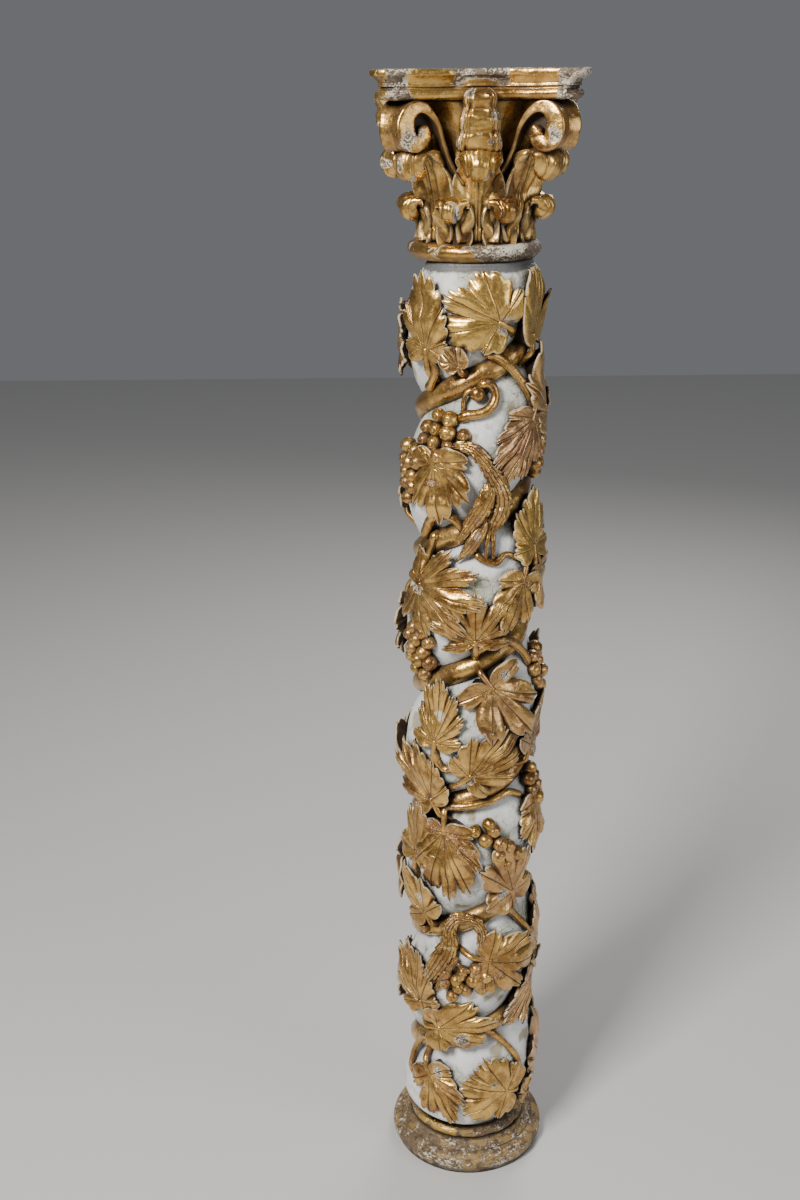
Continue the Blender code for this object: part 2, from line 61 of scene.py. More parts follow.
eye = Vector((EYE_DISTANCE * math.sin(EYE_ROUND), -EYE_DISTANCE * math.cos(EYE_ROUND),
              EYE_HEIGHT))
level = Matrix.Rotation(EYE_ROUND + LOOK_LEFT, 3, "Z") @ Vector((0.0, 1.0, 0.0))
aim = level * math.cos(LOOK_DOWN) - Vector((0.0, 0.0, math.sin(LOOK_DOWN)))
right = level.cross(Vector((0.0, 0.0, 1.0)))
upright = right.cross(aim)
tilted_right = right * math.cos(TILT) + upright * math.sin(TILT)
tilted_up = upright * math.cos(TILT) - right * math.sin(TILT)
camera = bpy.data.objects.new("camera", bpy.data.cameras.new("camera"))
camera.data.lens = LENS_MM
camera.matrix_world = Matrix((tilted_right, tilted_up, -aim)).transposed().to_4x4()
camera.location = eye
bpy.context.scene.collection.objects.link(camera)
bpy.context.scene.camera = camera

# The studio: a pale floor and soft box lights over a plain grey surround, which the gold
# mirrors. The key hangs high at the front left, the fill at the right, a rim light behind.
SURROUND = (0.15, 0.155, 0.165)
FLOOR_COLOUR = (0.62, 0.61, 0.59)
FLOOR_SIZE = 12.0
SOFT_BOXES = (
    ("key", (-1.4, -2.0, 2.7), 0.8, 140.0, (1.0, 0.98, 0.94)),
    ("fill", (2.2, -1.6, 1.5), 1.6, 22.0, (0.93, 0.96, 1.0)),
    ("rim", (0.8, 2.2, 2.4), 1.2, 36.0, (1.0, 0.98, 0.95)),
)

world = bpy.data.worlds.new("studio")
world.use_nodes = True
world.node_tree.nodes["Background"].inputs["Color"].default_value = (*SURROUND, 1.0)
bpy.context.scene.world = world
for box_name, place, size, watts, tint in SOFT_BOXES:
    lamp = bpy.data.lights.new(box_name, "AREA")
    lamp.size = size
    lamp.energy = watts
    lamp.color = tint
    soft_box = bpy.data.objects.new(box_name, lamp)
    soft_box.location = place
    towards = Vector((0.0, 0.0, 0.8)) - Vector(place)
    soft_box.rotation_euler = towards.to_track_quat("-Z", "Y").to_euler()
    bpy.context.scene.collection.objects.link(soft_box)

floor_mesh = bpy.data.meshes.new("floor")
half_floor = FLOOR_SIZE / 2
floor_mesh.from_pydata(
    [(-half_floor, -half_floor, 0.0), (half_floor, -half_floor, 0.0),
     (half_floor, half_floor, 0.0), (-half_floor, half_floor, 0.0)], [], [(0, 1, 2, 3)])
floor = bpy.data.objects.new("floor", floor_mesh)
bpy.context.scene.collection.objects.link(floor)
floor_paint = bpy.data.materials.new("pale_floor")
floor_paint.use_nodes = True
floor_shader = floor_paint.node_tree.nodes["Principled BSDF"]
floor_shader.inputs["Base Color"].default_value = (*FLOOR_COLOUR, 1.0)
floor_shader.inputs["Roughness"].default_value = 0.7
floor_mesh.materials.append(floor_paint)

# The base: a torus, a hollow and a ring, turned from one block of softwood. Its gesso and
# gold have flaked and rubbed off to bare dirty wood nearly everywhere, apart from one
# stretch of gilded ring at the front left. The shaft stands on it by its weight.
BASE_COLUMNS = 208
BASE_ROWS = 76
TORUS_HEIGHT = 0.032
RING_HEIGHT = 0.016
RING_RADIUS = 0.088
HOLLOW_FOOT = 0.101
GILDED_RING_FROM = -62.0
GILDED_RING_TO = -8.0
GILDED_RING_FOOT = 0.0435
AXIS_GAP = 0.010
FLAKE_DEPTH = 0.0011


def cloud(points, size, seed):
    """Smooth noise from -1 to 1 at points: random values on a cubic lattice whose cell has
    that size in metres, blended along each axis by a smooth step."""
    lattice = np.random.default_rng(seed).uniform(-1.0, 1.0, (24, 24, 24))
    cell = points / size
    low = np.floor(cell).astype(int)
    part = cell - low
    part = part * part * (3 - 2 * part)
    value = np.zeros(points.shape[:-1])
    for corner in itertools.product((0, 1), repeat=3):
        weight = np.ones(points.shape[:-1])
        for axis in range(3):
            weight = weight * (part[..., axis] if corner[axis] else 1 - part[..., axis])
        index = (low + corner) % 24
        value += weight * lattice[index[..., 0], index[..., 1], index[..., 2]]
    return value


def step_up(value, low, high):
    """0 below the low limit, 1 above the high one, and a smooth step between."""
    share = np.clip((value - low) / (high - low), 0.0, 1.0)
    return share * share * (3 - 2 * share)


def closed_skins(name, skins):
    """One mesh of closed skins. A skin is a grid of points whose rows are rings, and its
    first and last ring are closed by a fan to their middle. Marks are values for each
    point, kept as attributes. A skin that would face inwards has its rings reversed."""
    places, corners, starts = [], [], []
    marks = {mark: [] for mark in skins[0][1]}
    first = 0
    corner_count = 0
    for points, values in skins:
        rows, columns = points.shape[:2]
        ids = np.arange(rows * columns).reshape(rows, columns)
        after = np.roll(ids, -1, axis=1)
        quads = np.stack([ids[:-1], after[:-1], after[1:], ids[1:]], -1).reshape(-1, 4)
        foot = np.stack([after[0], ids[0], np.full(columns, rows * columns)], -1)
        head = np.stack([ids[-1], after[-1], np.full(columns, rows * columns + 1)], -1)
        flat = np.concatenate([points.reshape(-1, 3), points[0].mean(0)[None],
                               points[-1].mean(0)[None]])
        sides = flat[quads]
        volume = np.einsum("ij,ij->i", sides[:, 0], np.cross(sides[:, 1], sides[:, 2])).sum()
        volume += np.einsum("ij,ij->i", sides[:, 0], np.cross(sides[:, 2], sides[:, 3])).sum()
        for fan in (foot, head):
            ends = flat[fan]
            volume += np.einsum("ij,ij->i", ends[:, 0], np.cross(ends[:, 1], ends[:, 2])).sum()
        if volume < 0:
            quads, foot, head = quads[:, ::-1], foot[:, ::-1], head[:, ::-1]
        for faces in (quads, foot, head):
            size = faces.shape[1]
            starts.append(corner_count + size * np.arange(len(faces)))
            corners.append((faces + first).ravel())
            corner_count += faces.size
        places.append(flat)
        first += len(flat)
        for mark, value in values.items():
            value = np.broadcast_to(value, (rows, columns))
            marks[mark].append(np.concatenate([value.ravel(), [value[0].mean()],
                                               [value[-1].mean()]]))
    mesh = bpy.data.meshes.new(name)
    mesh.vertices.add(first)
    mesh.vertices.foreach_set("co", np.concatenate(places).ravel().astype(np.float32))
    mesh.loops.add(corner_count)
    mesh.loops.foreach_set("vertex_index", np.concatenate(corners).astype(np.int32))
    mesh.polygons.add(sum(len(start) for start in starts))
    mesh.polygons.foreach_set("loop_start", np.concatenate(starts).astype(np.int32))
    mesh.update(calc_edges=True)
    for mark, value in marks.items():
        layer = mesh.attributes.new(mark, "FLOAT", "POINT")
        layer.data.foreach_set("value", np.concatenate(value).astype(np.float32))
    mesh.shade_smooth()
    piece = bpy.data.objects.new(name, mesh)
    bpy.context.scene.collection.objects.link(piece)
    return piece


def dress(piece, material, slot, *nodes):
    """Give a piece its material, let it ride on the column and stand for its node. The slot is not
    used.
    """
    piece.data.materials.append(material)
    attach(piece, "root")
    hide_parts(*nodes)


def resampled(outline, rows):
    """Points spaced evenly along a line through the outline's points."""
    outline = np.array(outline, float)
    gone = np.concatenate([[0.0], np.cumsum(np.hypot(*np.diff(outline, axis=0).T))])
    at = np.linspace(0.0, gone[-1], rows)
    return np.interp(at, gone, outline[:, 0]), np.interp(at, gone, outline[:, 1])


def arc(radius, height, half_width, half_height, start, stop, steps=16):
    """Points on an ellipse in a section about (radius, height), between two angles."""
    turn = np.radians(np.linspace(start, stop, steps))
    return list(zip(radius + half_width * np.cos(turn), height + half_height * np.sin(turn)))


def full_turn(steps):
    """Angles spaced evenly around a full turn, in radians."""
    return np.linspace(0.0, 2 * math.pi, steps, endpoint=False)


def turned_points(radius, height, columns):
    """A section of radii and heights turned around the axis, as a grid of points."""
    angle = full_turn(columns)
    return np.stack([radius[:, None] * np.sin(angle), -radius[:, None] * np.cos(angle),
                     np.broadcast_to(height[:, None], (len(height), columns))], -1)


def push_out(points, distance):
    """Move points away from the column's axis by a distance."""
    away = np.hypot(points[..., 0], points[..., 1])
    points[..., :2] *= (1 + distance / away)[..., None]


def degrees_round(points):
    """Angle of each point around the axis in degrees, 0 at the front, positive to +X."""
    return np.degrees(np.arctan2(points[..., 0], -points[..., 1]))


base_low, base_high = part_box("base")
base_outline = [(AXIS_GAP, 0.0), (base_high.x - 0.0055, 0.0)]
base_outline += arc(base_high.x - TORUS_HEIGHT / 2, TORUS_HEIGHT / 2,
                    TORUS_HEIGHT / 2, TORUS_HEIGHT / 2, -40, 90)
base_outline += [(HOLLOW_FOOT, TORUS_HEIGHT + 0.001)]
base_outline += arc(HOLLOW_FOOT + 0.001, base_high.z - RING_HEIGHT - 0.003, 0.011,
                    base_high.z - RING_HEIGHT - 0.005 - TORUS_HEIGHT, -100, -180, 8)
base_outline += [(RING_RADIUS + 0.0025, base_high.z - RING_HEIGHT - 0.001)]
base_outline += arc(RING_RADIUS - RING_HEIGHT / 2, base_high.z - RING_HEIGHT / 2,
                    RING_HEIGHT / 2, RING_HEIGHT / 2, -90, 90)
base_outline += [(AXIS_GAP, base_high.z)]
base_points = turned_points(*resampled(base_outline, BASE_ROWS), BASE_COLUMNS)
away = np.hypot(base_points[..., 0], base_points[..., 1])
waver = cloud(base_points, 0.030, 1) * 0.0007 + cloud(base_points, 0.008, 2) * 0.0004
flakes = step_up(cloud(base_points, 0.017, 3) + 0.4 * cloud(base_points, 0.006, 4), 0.30, 0.42)
outer = step_up(away, 0.070, 0.080) * step_up(base_points[..., 2], 0.0, 0.004)
push_out(base_points, (np.minimum(waver, 0.0) - FLAKE_DEPTH * flakes) * outer)
ring_angle = degrees_round(base_points)
base_gold = step_up(ring_angle, GILDED_RING_FROM, GILDED_RING_FROM + 6)
base_gold *= 1 - step_up(ring_angle, GILDED_RING_TO - 6, GILDED_RING_TO)
base_gold *= step_up(base_points[..., 2], GILDED_RING_FOOT, GILDED_RING_FOOT + 0.0025)
base_gold *= 1 - step_up(away, RING_RADIUS + 0.0005, RING_RADIUS + 0.002)
base_piece = closed_skins("turned_base", [(base_points, {
    "flake": flakes * outer, "gold": np.maximum(base_gold - 0.5 * flakes, 0.0),
    "underside": 1 - step_up(base_points[..., 2], 0.008, 0.030)})])


def new_material(name):
    """A Principled material, with its tree, its shader and an Object coordinate output."""
    material = bpy.data.materials.new(name)
    material.use_nodes = True
    tree = material.node_tree
    coordinates = tree.nodes.new("ShaderNodeTexCoord").outputs["Object"]
    return material, tree, tree.nodes["Principled BSDF"], coordinates


def add_node(tree, kind, inputs, **settings):
    """A new node of a kind, with its settings and inputs. An input takes a number or a
    colour, or is linked where a socket is given."""
    node = tree.nodes.new("ShaderNode" + kind)
    for name, value in settings.items():
        setattr(node, name, value)
    for name, value in inputs.items():
        if isinstance(value, bpy.types.NodeSocket):
            tree.links.new(value, node.inputs[name])
        else:
            node.inputs[name].default_value = value
    return node


def attribute(tree, name):
    """The value that a mesh attribute carries."""
    return add_node(tree, "Attribute", {}, attribute_name=name).outputs["Fac"]


def noise(spot, scale, detail=4.0, rough=0.55, warp=0.0):
    """Noise around 0.5, its scale in cells to the metre."""
    return add_node(spot.id_data, "TexNoise", {
        "Vector": spot, "Scale": scale, "Detail": detail, "Roughness": rough,
        "Distortion": warp}).outputs["Fac"]


def between(value, low, high, out_low=0.0, out_high=1.0):
    """A value mapped from one range to another and held to its ends."""
    return add_node(value.id_data, "MapRange", {
        "Value": value, "From Min": low, "From Max": high, "To Min": out_low,
        "To Max": out_high}).outputs["Result"]


def spread(value, low, high):
    """Noise, most of which lies from 0.3 to 0.7, mapped to another range."""
    return between(value, 0.3, 0.7, low, high)


def reckon(kind, first, second):
    """One sum of a value and a second one or a number. Sums and differences stay in 0 to 1."""
    return add_node(first.id_data, "Math", {0: first, 1: second}, operation=kind,
                    use_clamp=kind in ("ADD", "SUBTRACT")).outputs["Value"]


def add(value, *others):
    """A value with others added one by one."""
    for other in others:
        value = reckon("ADD", value, other)
    return value


def minus(value, *others):
    """A value with others taken off one by one."""
    for other in others:
        value = reckon("SUBTRACT", value, other)
    return value


def times(value, other):
    """The product of two values."""
    return reckon("MULTIPLY", value, other)


def larger(value, *others):
    """The largest of some values."""
    for other in others:
        value = reckon("MAXIMUM", value, other)
    return value


def blend(share, first, second):
    """A mix from the first colour to the second by a share; a colour may be a socket."""
    ends = [(*end, 1.0) if isinstance(end, tuple) else end for end in (first, second)]
    return add_node(share.id_data, "Mix", {"Factor": share, 6: ends[0], 7: ends[1]},
                    data_type="RGBA").outputs[2]


def shelter(tree, reach):
    """How deep in a hollow a point lies: 0 in the open, towards 1 in a narrow corner."""
    openness = add_node(tree, "AmbientOcclusion", {"Distance": reach}, samples=6).outputs["AO"]
    return between(openness, 0.0, 1.0, 1.0, 0.0)


def finish_shader(shader, inputs, relief, distance):
    """Link a shader's inputs, and bump it by a relief of 0 to 1, that distance in metres."""
    tree = shader.id_data
    bump = add_node(tree, "Bump", {"Distance": distance, "Height": relief})
    for name, socket in {**inputs, "Normal": bump.outputs["Normal"]}.items():
        tree.links.new(socket, shader.inputs[name])


DARK_WOOD = (0.070, 0.040, 0.020)
LIGHT_WOOD = (0.27, 0.17, 0.085)
WORN_DARK_WOOD = (0.055, 0.034, 0.019)
WORN_LIGHT_WOOD = (0.31, 0.21, 0.12)
OLD_GRIME_AND_SHADE = (0.035, 0.026, 0.018)
GESSO = (0.68, 0.61, 0.47)
OCHRE_SIZE = (0.40, 0.26, 0.09)
GOLD_LEAF = (0.78, 0.50, 0.155)

worn_base, tree, shader, spot = new_material("worn_gesso_and_bare_wood")
around_block = add_node(tree, "Mapping", {"Vector": spot, "Scale": (1.0, 1.0, 2.2)}).outputs[0]
grain = noise(around_block, 60.0, 6.0, 0.65, 0.4)
patches = noise(around_block, 30.0, 7.0, 0.70, 0.8)
flecks = noise(around_block, 190.0, 5.0, 0.65, 0.8)
colour = blend(between(grain, 0.35, 0.65), DARK_WOOD, LIGHT_WOOD)
ochre = between(add(spread(patches, 0.0, 0.6), spread(grain, 0.0, 0.4)), 0.46, 0.58, 0.0, 0.85)
colour = blend(ochre, colour, OCHRE_SIZE)
low_down = between(attribute(tree, "underside"), 0.0, 1.0, -0.085, 0.015)
chalky = add(spread(patches, 0.40, 0.0), spread(flecks, 0.0, 0.60), low_down)
chalky = between(chalky, 0.53, 0.57)
colour = blend(chalky, colour, GESSO)
rubbed_wood = blend(between(flecks, 0.38, 0.62), WORN_DARK_WOOD, WORN_LIGHT_WOOD)
colour = blend(attribute(tree, "flake"), colour, rubbed_wood)
golden = add(attribute(tree, "gold"), between(flecks, 0.35, 0.65, -0.3, 0.3))
golden = between(golden, 0.45, 0.55)
colour = blend(golden, colour, GOLD_LEAF)
# Dirt and painted shade: the wood darkens in hollows, found by ambient occlusion, and with flecks.
dirt_and_shade = between(add(shelter(tree, 0.02), spread(flecks, 0.0, 0.35)), 0.32, 0.90)
colour = blend(dirt_and_shade, colour, OLD_GRIME_AND_SHADE)
gilt = larger(golden, times(minus(ochre, chalky), 0.45))
finish_shader(shader, {"Base Color": colour, "Metallic": between(gilt, 0.0, 1.0, 0.0, 0.9),
                       "Roughness": between(gilt, 0.0, 1.0, 0.62, 0.32)},
              add(spread(flecks, 0.0, 0.5), between(chalky, 0.0, 1.0, 0.0, 0.5)), 0.0012)
dress(base_piece, worn_base, "worn_gesso", "base")

# The shaft's ground: one length of softwood with a right-handed groove of six and a half
# turns gouged into it, covered in gesso and painted white over grey. The paint has gone
# grey and green in the hollows and is worn thin over the rounds.
SHAFT_BOTTOM = 0.060
SHAFT_TOP = 1.330
FOOT_CREST = 0.097
HEAD_CREST = 0.083
FOOT_NECK = 0.076
HEAD_NECK = 0.074
NECK_HEIGHT = 0.007
SHOULDER_HEIGHT = 0.026
TWIST_TURNS = 6.58
PITCH = (SHAFT_TOP - SHAFT_BOTTOM) / TWIST_TURNS
FIRST_GROOVE = 0.855
GROOVE_DEPTH = 0.032
GROOVE_SHARPNESS = 2.4
GROUND_COLUMNS = 136
GROUND_ROWS = 410
PAINT_LOSS_DEPTH = 0.0009
GREY_WHITE = (0.66, 0.66, 0.635)
WARM_WHITE = (0.86, 0.855, 0.81)
CLEAN_WHITE = (0.91, 0.91, 0.92)
GREEN_STAIN = (0.36, 0.38, 0.23)
GREY_STAIN = (0.25, 0.265, 0.27)
LOST_PAINT = (0.36, 0.29, 0.15)
NECK_DIRT = (0.12, 0.12, 0.12)
CRACK_DIRT = (0.09, 0.075, 0.05)
CORNER_DIRT_AND_SHADE = (0.060, 0.050, 0.034)


def around(angle, radius, height):
    """Points at angles in radians from the front, as an array of x, y and z."""
    return np.stack(np.broadcast_arrays(radius * np.sin(angle), -radius * np.cos(angle),
                                        height), -1)


def crest(height):
    """Radius of the twist's crest: it tapers evenly from the foot to the head."""
    share = (height - SHAFT_BOTTOM) / (SHAFT_TOP - SHAFT_BOTTOM)
    return FOOT_CREST + (HEAD_CREST - FOOT_CREST) * share


def groove_share(angle, height):
    """Place between two turns of the groove: 0 and 1 in the groove, 0.5 on the crest."""
    turns = (height - SHAFT_BOTTOM) / PITCH - FIRST_GROOVE - angle / (2 * math.pi)
    return turns - np.floor(turns)


def end_limit(height):
    """Largest radius at a height: the neck, then a quarter round out to the crest."""
    limit = np.full(np.shape(height), 1.0)
    for neck, rim, rise in ((FOOT_NECK, FOOT_CREST, height - SHAFT_BOTTOM - NECK_HEIGHT),
                            (HEAD_NECK, HEAD_CREST, SHAFT_TOP - NECK_HEIGHT - height)):
        share = np.clip(rise / SHOULDER_HEIGHT, 0.0, 1.0)
        widen = (rim - neck) * np.sqrt(1 - (1 - share) ** 2)
        limit = np.minimum(limit, neck + widen + np.maximum(rise - SHOULDER_HEIGHT, 0.0))
    return limit


def ground_radius(angle, height):
    """Radius of the bare twist: crest - depth * |2 share - 1| ** sharpness, within its ends."""
    share = groove_share(angle, height)
    body = crest(height) - GROOVE_DEPTH * np.abs(2 * share - 1) ** GROOVE_SHARPNESS
    return np.minimum(body, end_limit(height))


def seat_radius(angle, height, dip):
    """Radius where carving sits: the ground, but bridging the groove no deeper than dip,
    as crest - dip * (1 - exp(-depth / dip)), and close to the shoulders at the ends."""
    share = groove_share(angle, height)
    depth = GROOVE_DEPTH * np.abs(2 * share - 1) ** GROOVE_SHARPNESS
    bridge = crest(height) - dip * (1 - np.exp(-depth / dip))
    return np.minimum(bridge, end_limit(height) + 0.004)


shaft_low, shaft_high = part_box("shaft")
ground_heights = np.linspace(shaft_low.z, shaft_high.z, GROUND_ROWS)
ground_angles = full_turn(GROUND_COLUMNS)
angle_grid, height_grid = np.meshgrid(ground_angles, ground_heights)
ground = around(angle_grid, ground_radius(angle_grid, height_grid), height_grid)
tool_marks = cloud(ground, 0.022, 11) * 0.0008 + cloud(ground, 0.007, 12) * 0.0003
losses = step_up(cloud(ground, 0.040, 13) + 0.5 * cloud(ground, 0.011, 14), 0.62, 0.70)
fade_in = np.sin(np.linspace(0.0, math.pi, GROUND_ROWS))[:, None] ** 0.3
push_out(ground, (tool_marks - PAINT_LOSS_DEPTH * losses - 0.0004) * fade_in)
foot_ring = around(ground_angles, 0.02, shaft_low.z)[None]
head_ring = around(ground_angles, 0.02, shaft_high.z)[None]
ground = np.concatenate([foot_ring, ground, head_ring])
ground_marks = {
    "hollow": np.abs(2 * groove_share(angle_grid, height_grid) - 1) ** 2,
    "loss": losses,
    "neck": 1 - step_up(np.minimum(height_grid - shaft_low.z, shaft_high.z - height_grid),
                        0.004, 0.016),
    "foot": (shaft_high.z - height_grid) / (shaft_high.z - shaft_low.z),
}
for mark, value in ground_marks.items():
    ground_marks[mark] = np.concatenate([value[:1], value, value[-1:]])
ground_marks["loss"][[0, -1]] = 0.0
ground_piece = closed_skins("painted_ground", [(ground, ground_marks)])

painted, tree, shader, spot = new_material("white_paint_on_gesso")
cloudy = noise(spot, 14.0, 6.0, 0.6, 0.5)
mottle = noise(spot, 55.0, 6.0, 0.65, 0.3)
speckle = noise(spot, 330.0, 4.0, 0.6)
white = blend(between(mottle, 0.38, 0.64), GREY_WHITE, WARM_WHITE)
white = blend(between(attribute(tree, "foot"), 0.10, 0.75, 0.0, 0.65), white, CLEAN_WHITE)
green = between(cloudy, 0.50, 0.62, 0.0, 0.62)
white = blend(green, white, GREEN_STAIN)
grey = between(add(times(attribute(tree, "hollow"), 0.55), spread(mottle, 0.0, 0.5)), 0.35, 0.95)
white = blend(times(grey, 0.55), white, GREY_STAIN)
white = blend(times(attribute(tree, "loss"), 0.8), white, LOST_PAINT)
neck_dirt = between(add(attribute(tree, "neck"), spread(mottle, -0.30, 0.40)), 0.25, 0.65)
white = blend(neck_dirt, white, NECK_DIRT)
bend = add_node(tree, "VectorMath", {0: mottle, "Scale": 0.012}, operation="SCALE").outputs[0]
bent = add_node(tree, "VectorMath", {0: spot, 1: bend}).outputs[0]
crackle = add_node(tree, "TexVoronoi", {"Vector": bent, "Scale": 70.0},
                   feature="DISTANCE_TO_EDGE").outputs["Distance"]
crack = times(between(crackle, 0.012, 0.030, 1.0, 0.0), between(cloudy, 0.53, 0.60, 0.0, 0.85))
white = blend(crack, white, CRACK_DIRT)
# Dirt and painted shade: the paint darkens in the corners beside the carving, found by ambient
# occlusion.
nook_dirt_and_shade = between(add(shelter(tree, 0.012), spread(speckle, -0.12, 0.18)), 0.32, 0.85)
white = blend(nook_dirt_and_shade, white, CORNER_DIRT_AND_SHADE)
finish_shader(shader, {"Base Color": white, "Roughness": spread(mottle, 0.62, 0.42)},
              add(spread(mottle, 0.0, 0.7), spread(speckle, 0.0, 0.3)), 0.0011)
dress(ground_piece, painted, "painted_and_gilded_wood", "shaft")

# The vine's stem lies in the groove all the way up, carved in one with the shaft and
# water gilded on red bole. It has low knots, and its gold has rubbed through on top.
STEM_RADIUS = 0.0155
STEM_LIFT = 0.007
STEM_STEPS = 820
STEM_SIDES = 20
DEEP_GOLD = (0.29, 0.135, 0.028)
BRIGHT_GOLD = (0.88, 0.53, 0.15)
PALE_GOLD = (0.92, 0.66, 0.27)
YELLOW_GOLD = (0.97, 0.63, 0.15)
PINKISH_GOLD = (0.66, 0.38, 0.22)
RED_BOLE = (0.25, 0.085, 0.035)
RUBBED_WOOD = (0.20, 0.13, 0.075)
CHIPPED_GESSO = (0.55, 0.47, 0.32)
BARE_DARK_WOOD = (0.075, 0.052, 0.036)
BARE_GREY_WOOD = (0.25, 0.185, 0.125)
GESSO_LEFT = (0.60, 0.54, 0.43)
GOLD_GRIME_AND_SHADE = (0.040, 0.020, 0.008)


def directions(path):
    """The unit vector along a path at each of its points."""
    ahead = np.gradient(path, axis=0)
    return ahead / np.linalg.norm(ahead, axis=1, keepdims=True)


def bar(path, radius, sides, squash=1.0):
    """A closed tube: at each point of the path a ring of that radius, square to the path.
    One axis of the ring points away from the column, and squash flattens it."""
    ahead = directions(path)
    away = path * np.array([1.0, 1.0, 0.0])
    aside = np.cross(ahead, away)
    aside /= np.linalg.norm(aside, axis=1, keepdims=True)
    away = np.cross(aside, ahead)
    turn = full_turn(sides)[None, :, None]
    reach = np.broadcast_to(radius, path.shape[:1])[:, None, None]
    return path[:, None] + reach * (np.cos(turn) * aside[:, None]
                                    + squash * np.sin(turn) * away[:, None])


def swept(points, steps):
    """A smooth run of values through rows of numbers (a Catmull-Rom curve)."""
    rows = np.array(points, float)
    rows = np.concatenate([2 * rows[:1] - rows[1:2], rows, 2 * rows[-1:] - rows[-2:-1]])
    at = np.linspace(1.0, len(rows) - 2.0, steps)
    first = np.minimum(at.astype(int), len(rows) - 3)
    part = (at - first)[:, None]
    before, start, stop, after = (rows[first + shift] for shift in (-1, 0, 1, 2))
    return 0.5 * (2 * start + (stop - before) * part
                  + (2 * before - 5 * start + 4 * stop - after) * part ** 2
                  + (3 * start - before - 3 * stop + after) * part ** 3)


MARKS = ("tone", "wear", "bare", "shade_and_dust", "edge", "rib", "reach")


def gilded(points, tone=0.0, wear=0.0, bare=0.0, shade_and_dust=0.0, edge=1.0, rib=1.0, reach=0.0):
    """A skin with the marks that the gilding reads at each point: the gold's tone from
    pinkish at -1 to yellow at 1, its wear, where it is lost to wood and gesso, how much painted
    shade it gets under edges and in holes and gaps (and dust on the abacus's top), and the
    distances from an edge, from a rib and along it, in centimetres."""
    return points, dict(zip(MARKS, (tone, wear, bare, shade_and_dust, edge, rib, reach)))


stem_heights = np.linspace(SHAFT_BOTTOM + 0.012, SHAFT_TOP - 0.012, STEM_STEPS)
stem_angles = ((stem_heights - SHAFT_BOTTOM) / PITCH - FIRST_GROOVE) * 2 * math.pi
stem_course = around(stem_angles, crest(stem_heights), stem_heights)
stem_girth = STEM_RADIUS * (1 + 0.06 * cloud(stem_course, 0.05, 21)
                            + 0.10 * step_up(cloud(stem_course, 0.035, 22), 0.35, 0.6))
stem_girth *= step_up(stem_heights, SHAFT_BOTTOM, SHAFT_BOTTOM + 0.045)
stem_girth *= 1 - step_up(stem_heights, SHAFT_TOP - 0.045, SHAFT_TOP + 0.004)
stem_girth = np.maximum(stem_girth, 0.003)
stem_middle = np.minimum(crest(stem_heights) - GROOVE_DEPTH + STEM_LIFT,
                         end_limit(stem_heights) - 0.7 * stem_girth)
stem = bar(around(stem_angles, stem_middle, stem_heights), stem_girth, STEM_SIDES)
stem_out = np.hypot(stem[..., 0], stem[..., 1])
push_out(stem, 0.0007 * cloud(stem, 0.009, 23))
stem_rub = step_up(stem_out - crest(stem[..., 2]), -0.017, -0.010)
stem_piece = closed_skins("vine_stem", [gilded(
    stem, tone=0.35 * cloud(stem, 0.09, 24) + 0.05,
    wear=0.22 * stem_rub + 0.35 * cloud(stem, 0.03, 25))])

gilding, tree, shader, spot = new_material("old_water_gilding")
tone, wear, bare, shade_and_dust, edge, rib, reach = (attribute(tree, mark) for mark in MARKS)
broad = noise(spot, 28.0, 5.0, 0.6, 0.6)
middling = noise(spot, 95.0, 6.0, 0.65, 0.4)
streaks = noise(spot, 170.0, 4.0, 0.55, 2.2)
fine = noise(spot, 420.0, 5.0, 0.6)
gold = blend(between(broad, 0.40, 0.63), DEEP_GOLD, BRIGHT_GOLD)
gold = blend(between(middling, 0.50, 0.68, 0.0, 0.5), gold, PALE_GOLD)
gold = blend(between(tone, 0.0, 1.0, 0.0, 0.8), gold, YELLOW_GOLD)
gold = blend(between(tone, 0.0, -1.0, 0.0, 0.75), gold, PINKISH_GOLD)
worn = add(spread(middling, 0.0, 0.42), between(broad, 0.35, 0.65, 0.0, 0.22), times(wear, 0.55))
bole = between(worn, 0.46, 0.64, 0.0, 0.8)
skin = blend(bole, gold, RED_BOLE)
wood = between(worn, 0.76, 0.82)
skin = blend(wood, skin, RUBBED_WOOD)
edge_line = between(add(edge, spread(streaks, -0.15, 0.15)), 0.18, 0.11)
torn_edge = times(between(worn, 0.68, 0.70), between(worn, 0.75, 0.72))
flecks = between(add(spread(streaks, 0.0, 0.6), between(worn, 0.45, 1.0, 0.0, 0.34)), 0.60, 0.64)
lost = add(bare, spread(middling, -0.25, 0.25), spread(streaks, -0.15, 0.15))
bare_skin = between(lost, 0.47, 0.52)
lost_border = minus(between(lost, 0.36, 0.40), bare_skin)
chips = larger(torn_edge, flecks, lost_border)
chalk = add(times(edge_line, 0.85), times(chips, 0.70))
skin = blend(chalk, skin, CHIPPED_GESSO)
bare_wood = blend(between(streaks, 0.36, 0.64), BARE_DARK_WOOD, BARE_GREY_WOOD)
gesso_left = between(add(spread(streaks, 0.0, 0.5), spread(broad, 0.0, 0.5)), 0.55, 0.57)
bare_wood = blend(gesso_left, bare_wood, GESSO_LEFT)
skin = blend(bare_skin, skin, bare_wood)
# Dark lines along the ribs and veins are painted shade in their cuts.
vein_wave = reckon("PINGPONG", minus(reach, times(rib, 0.9)), 0.42)
vein_line = times(between(vein_wave, 0.0, 0.07, 1.0, 0.0), between(reach, 0.3, 0.8))
midrib_line = times(between(rib, 0.030, 0.085, 1.0, 0.0), between(reach, 0.05, 0.2))
lines = add(midrib_line, times(vein_line, 0.55))
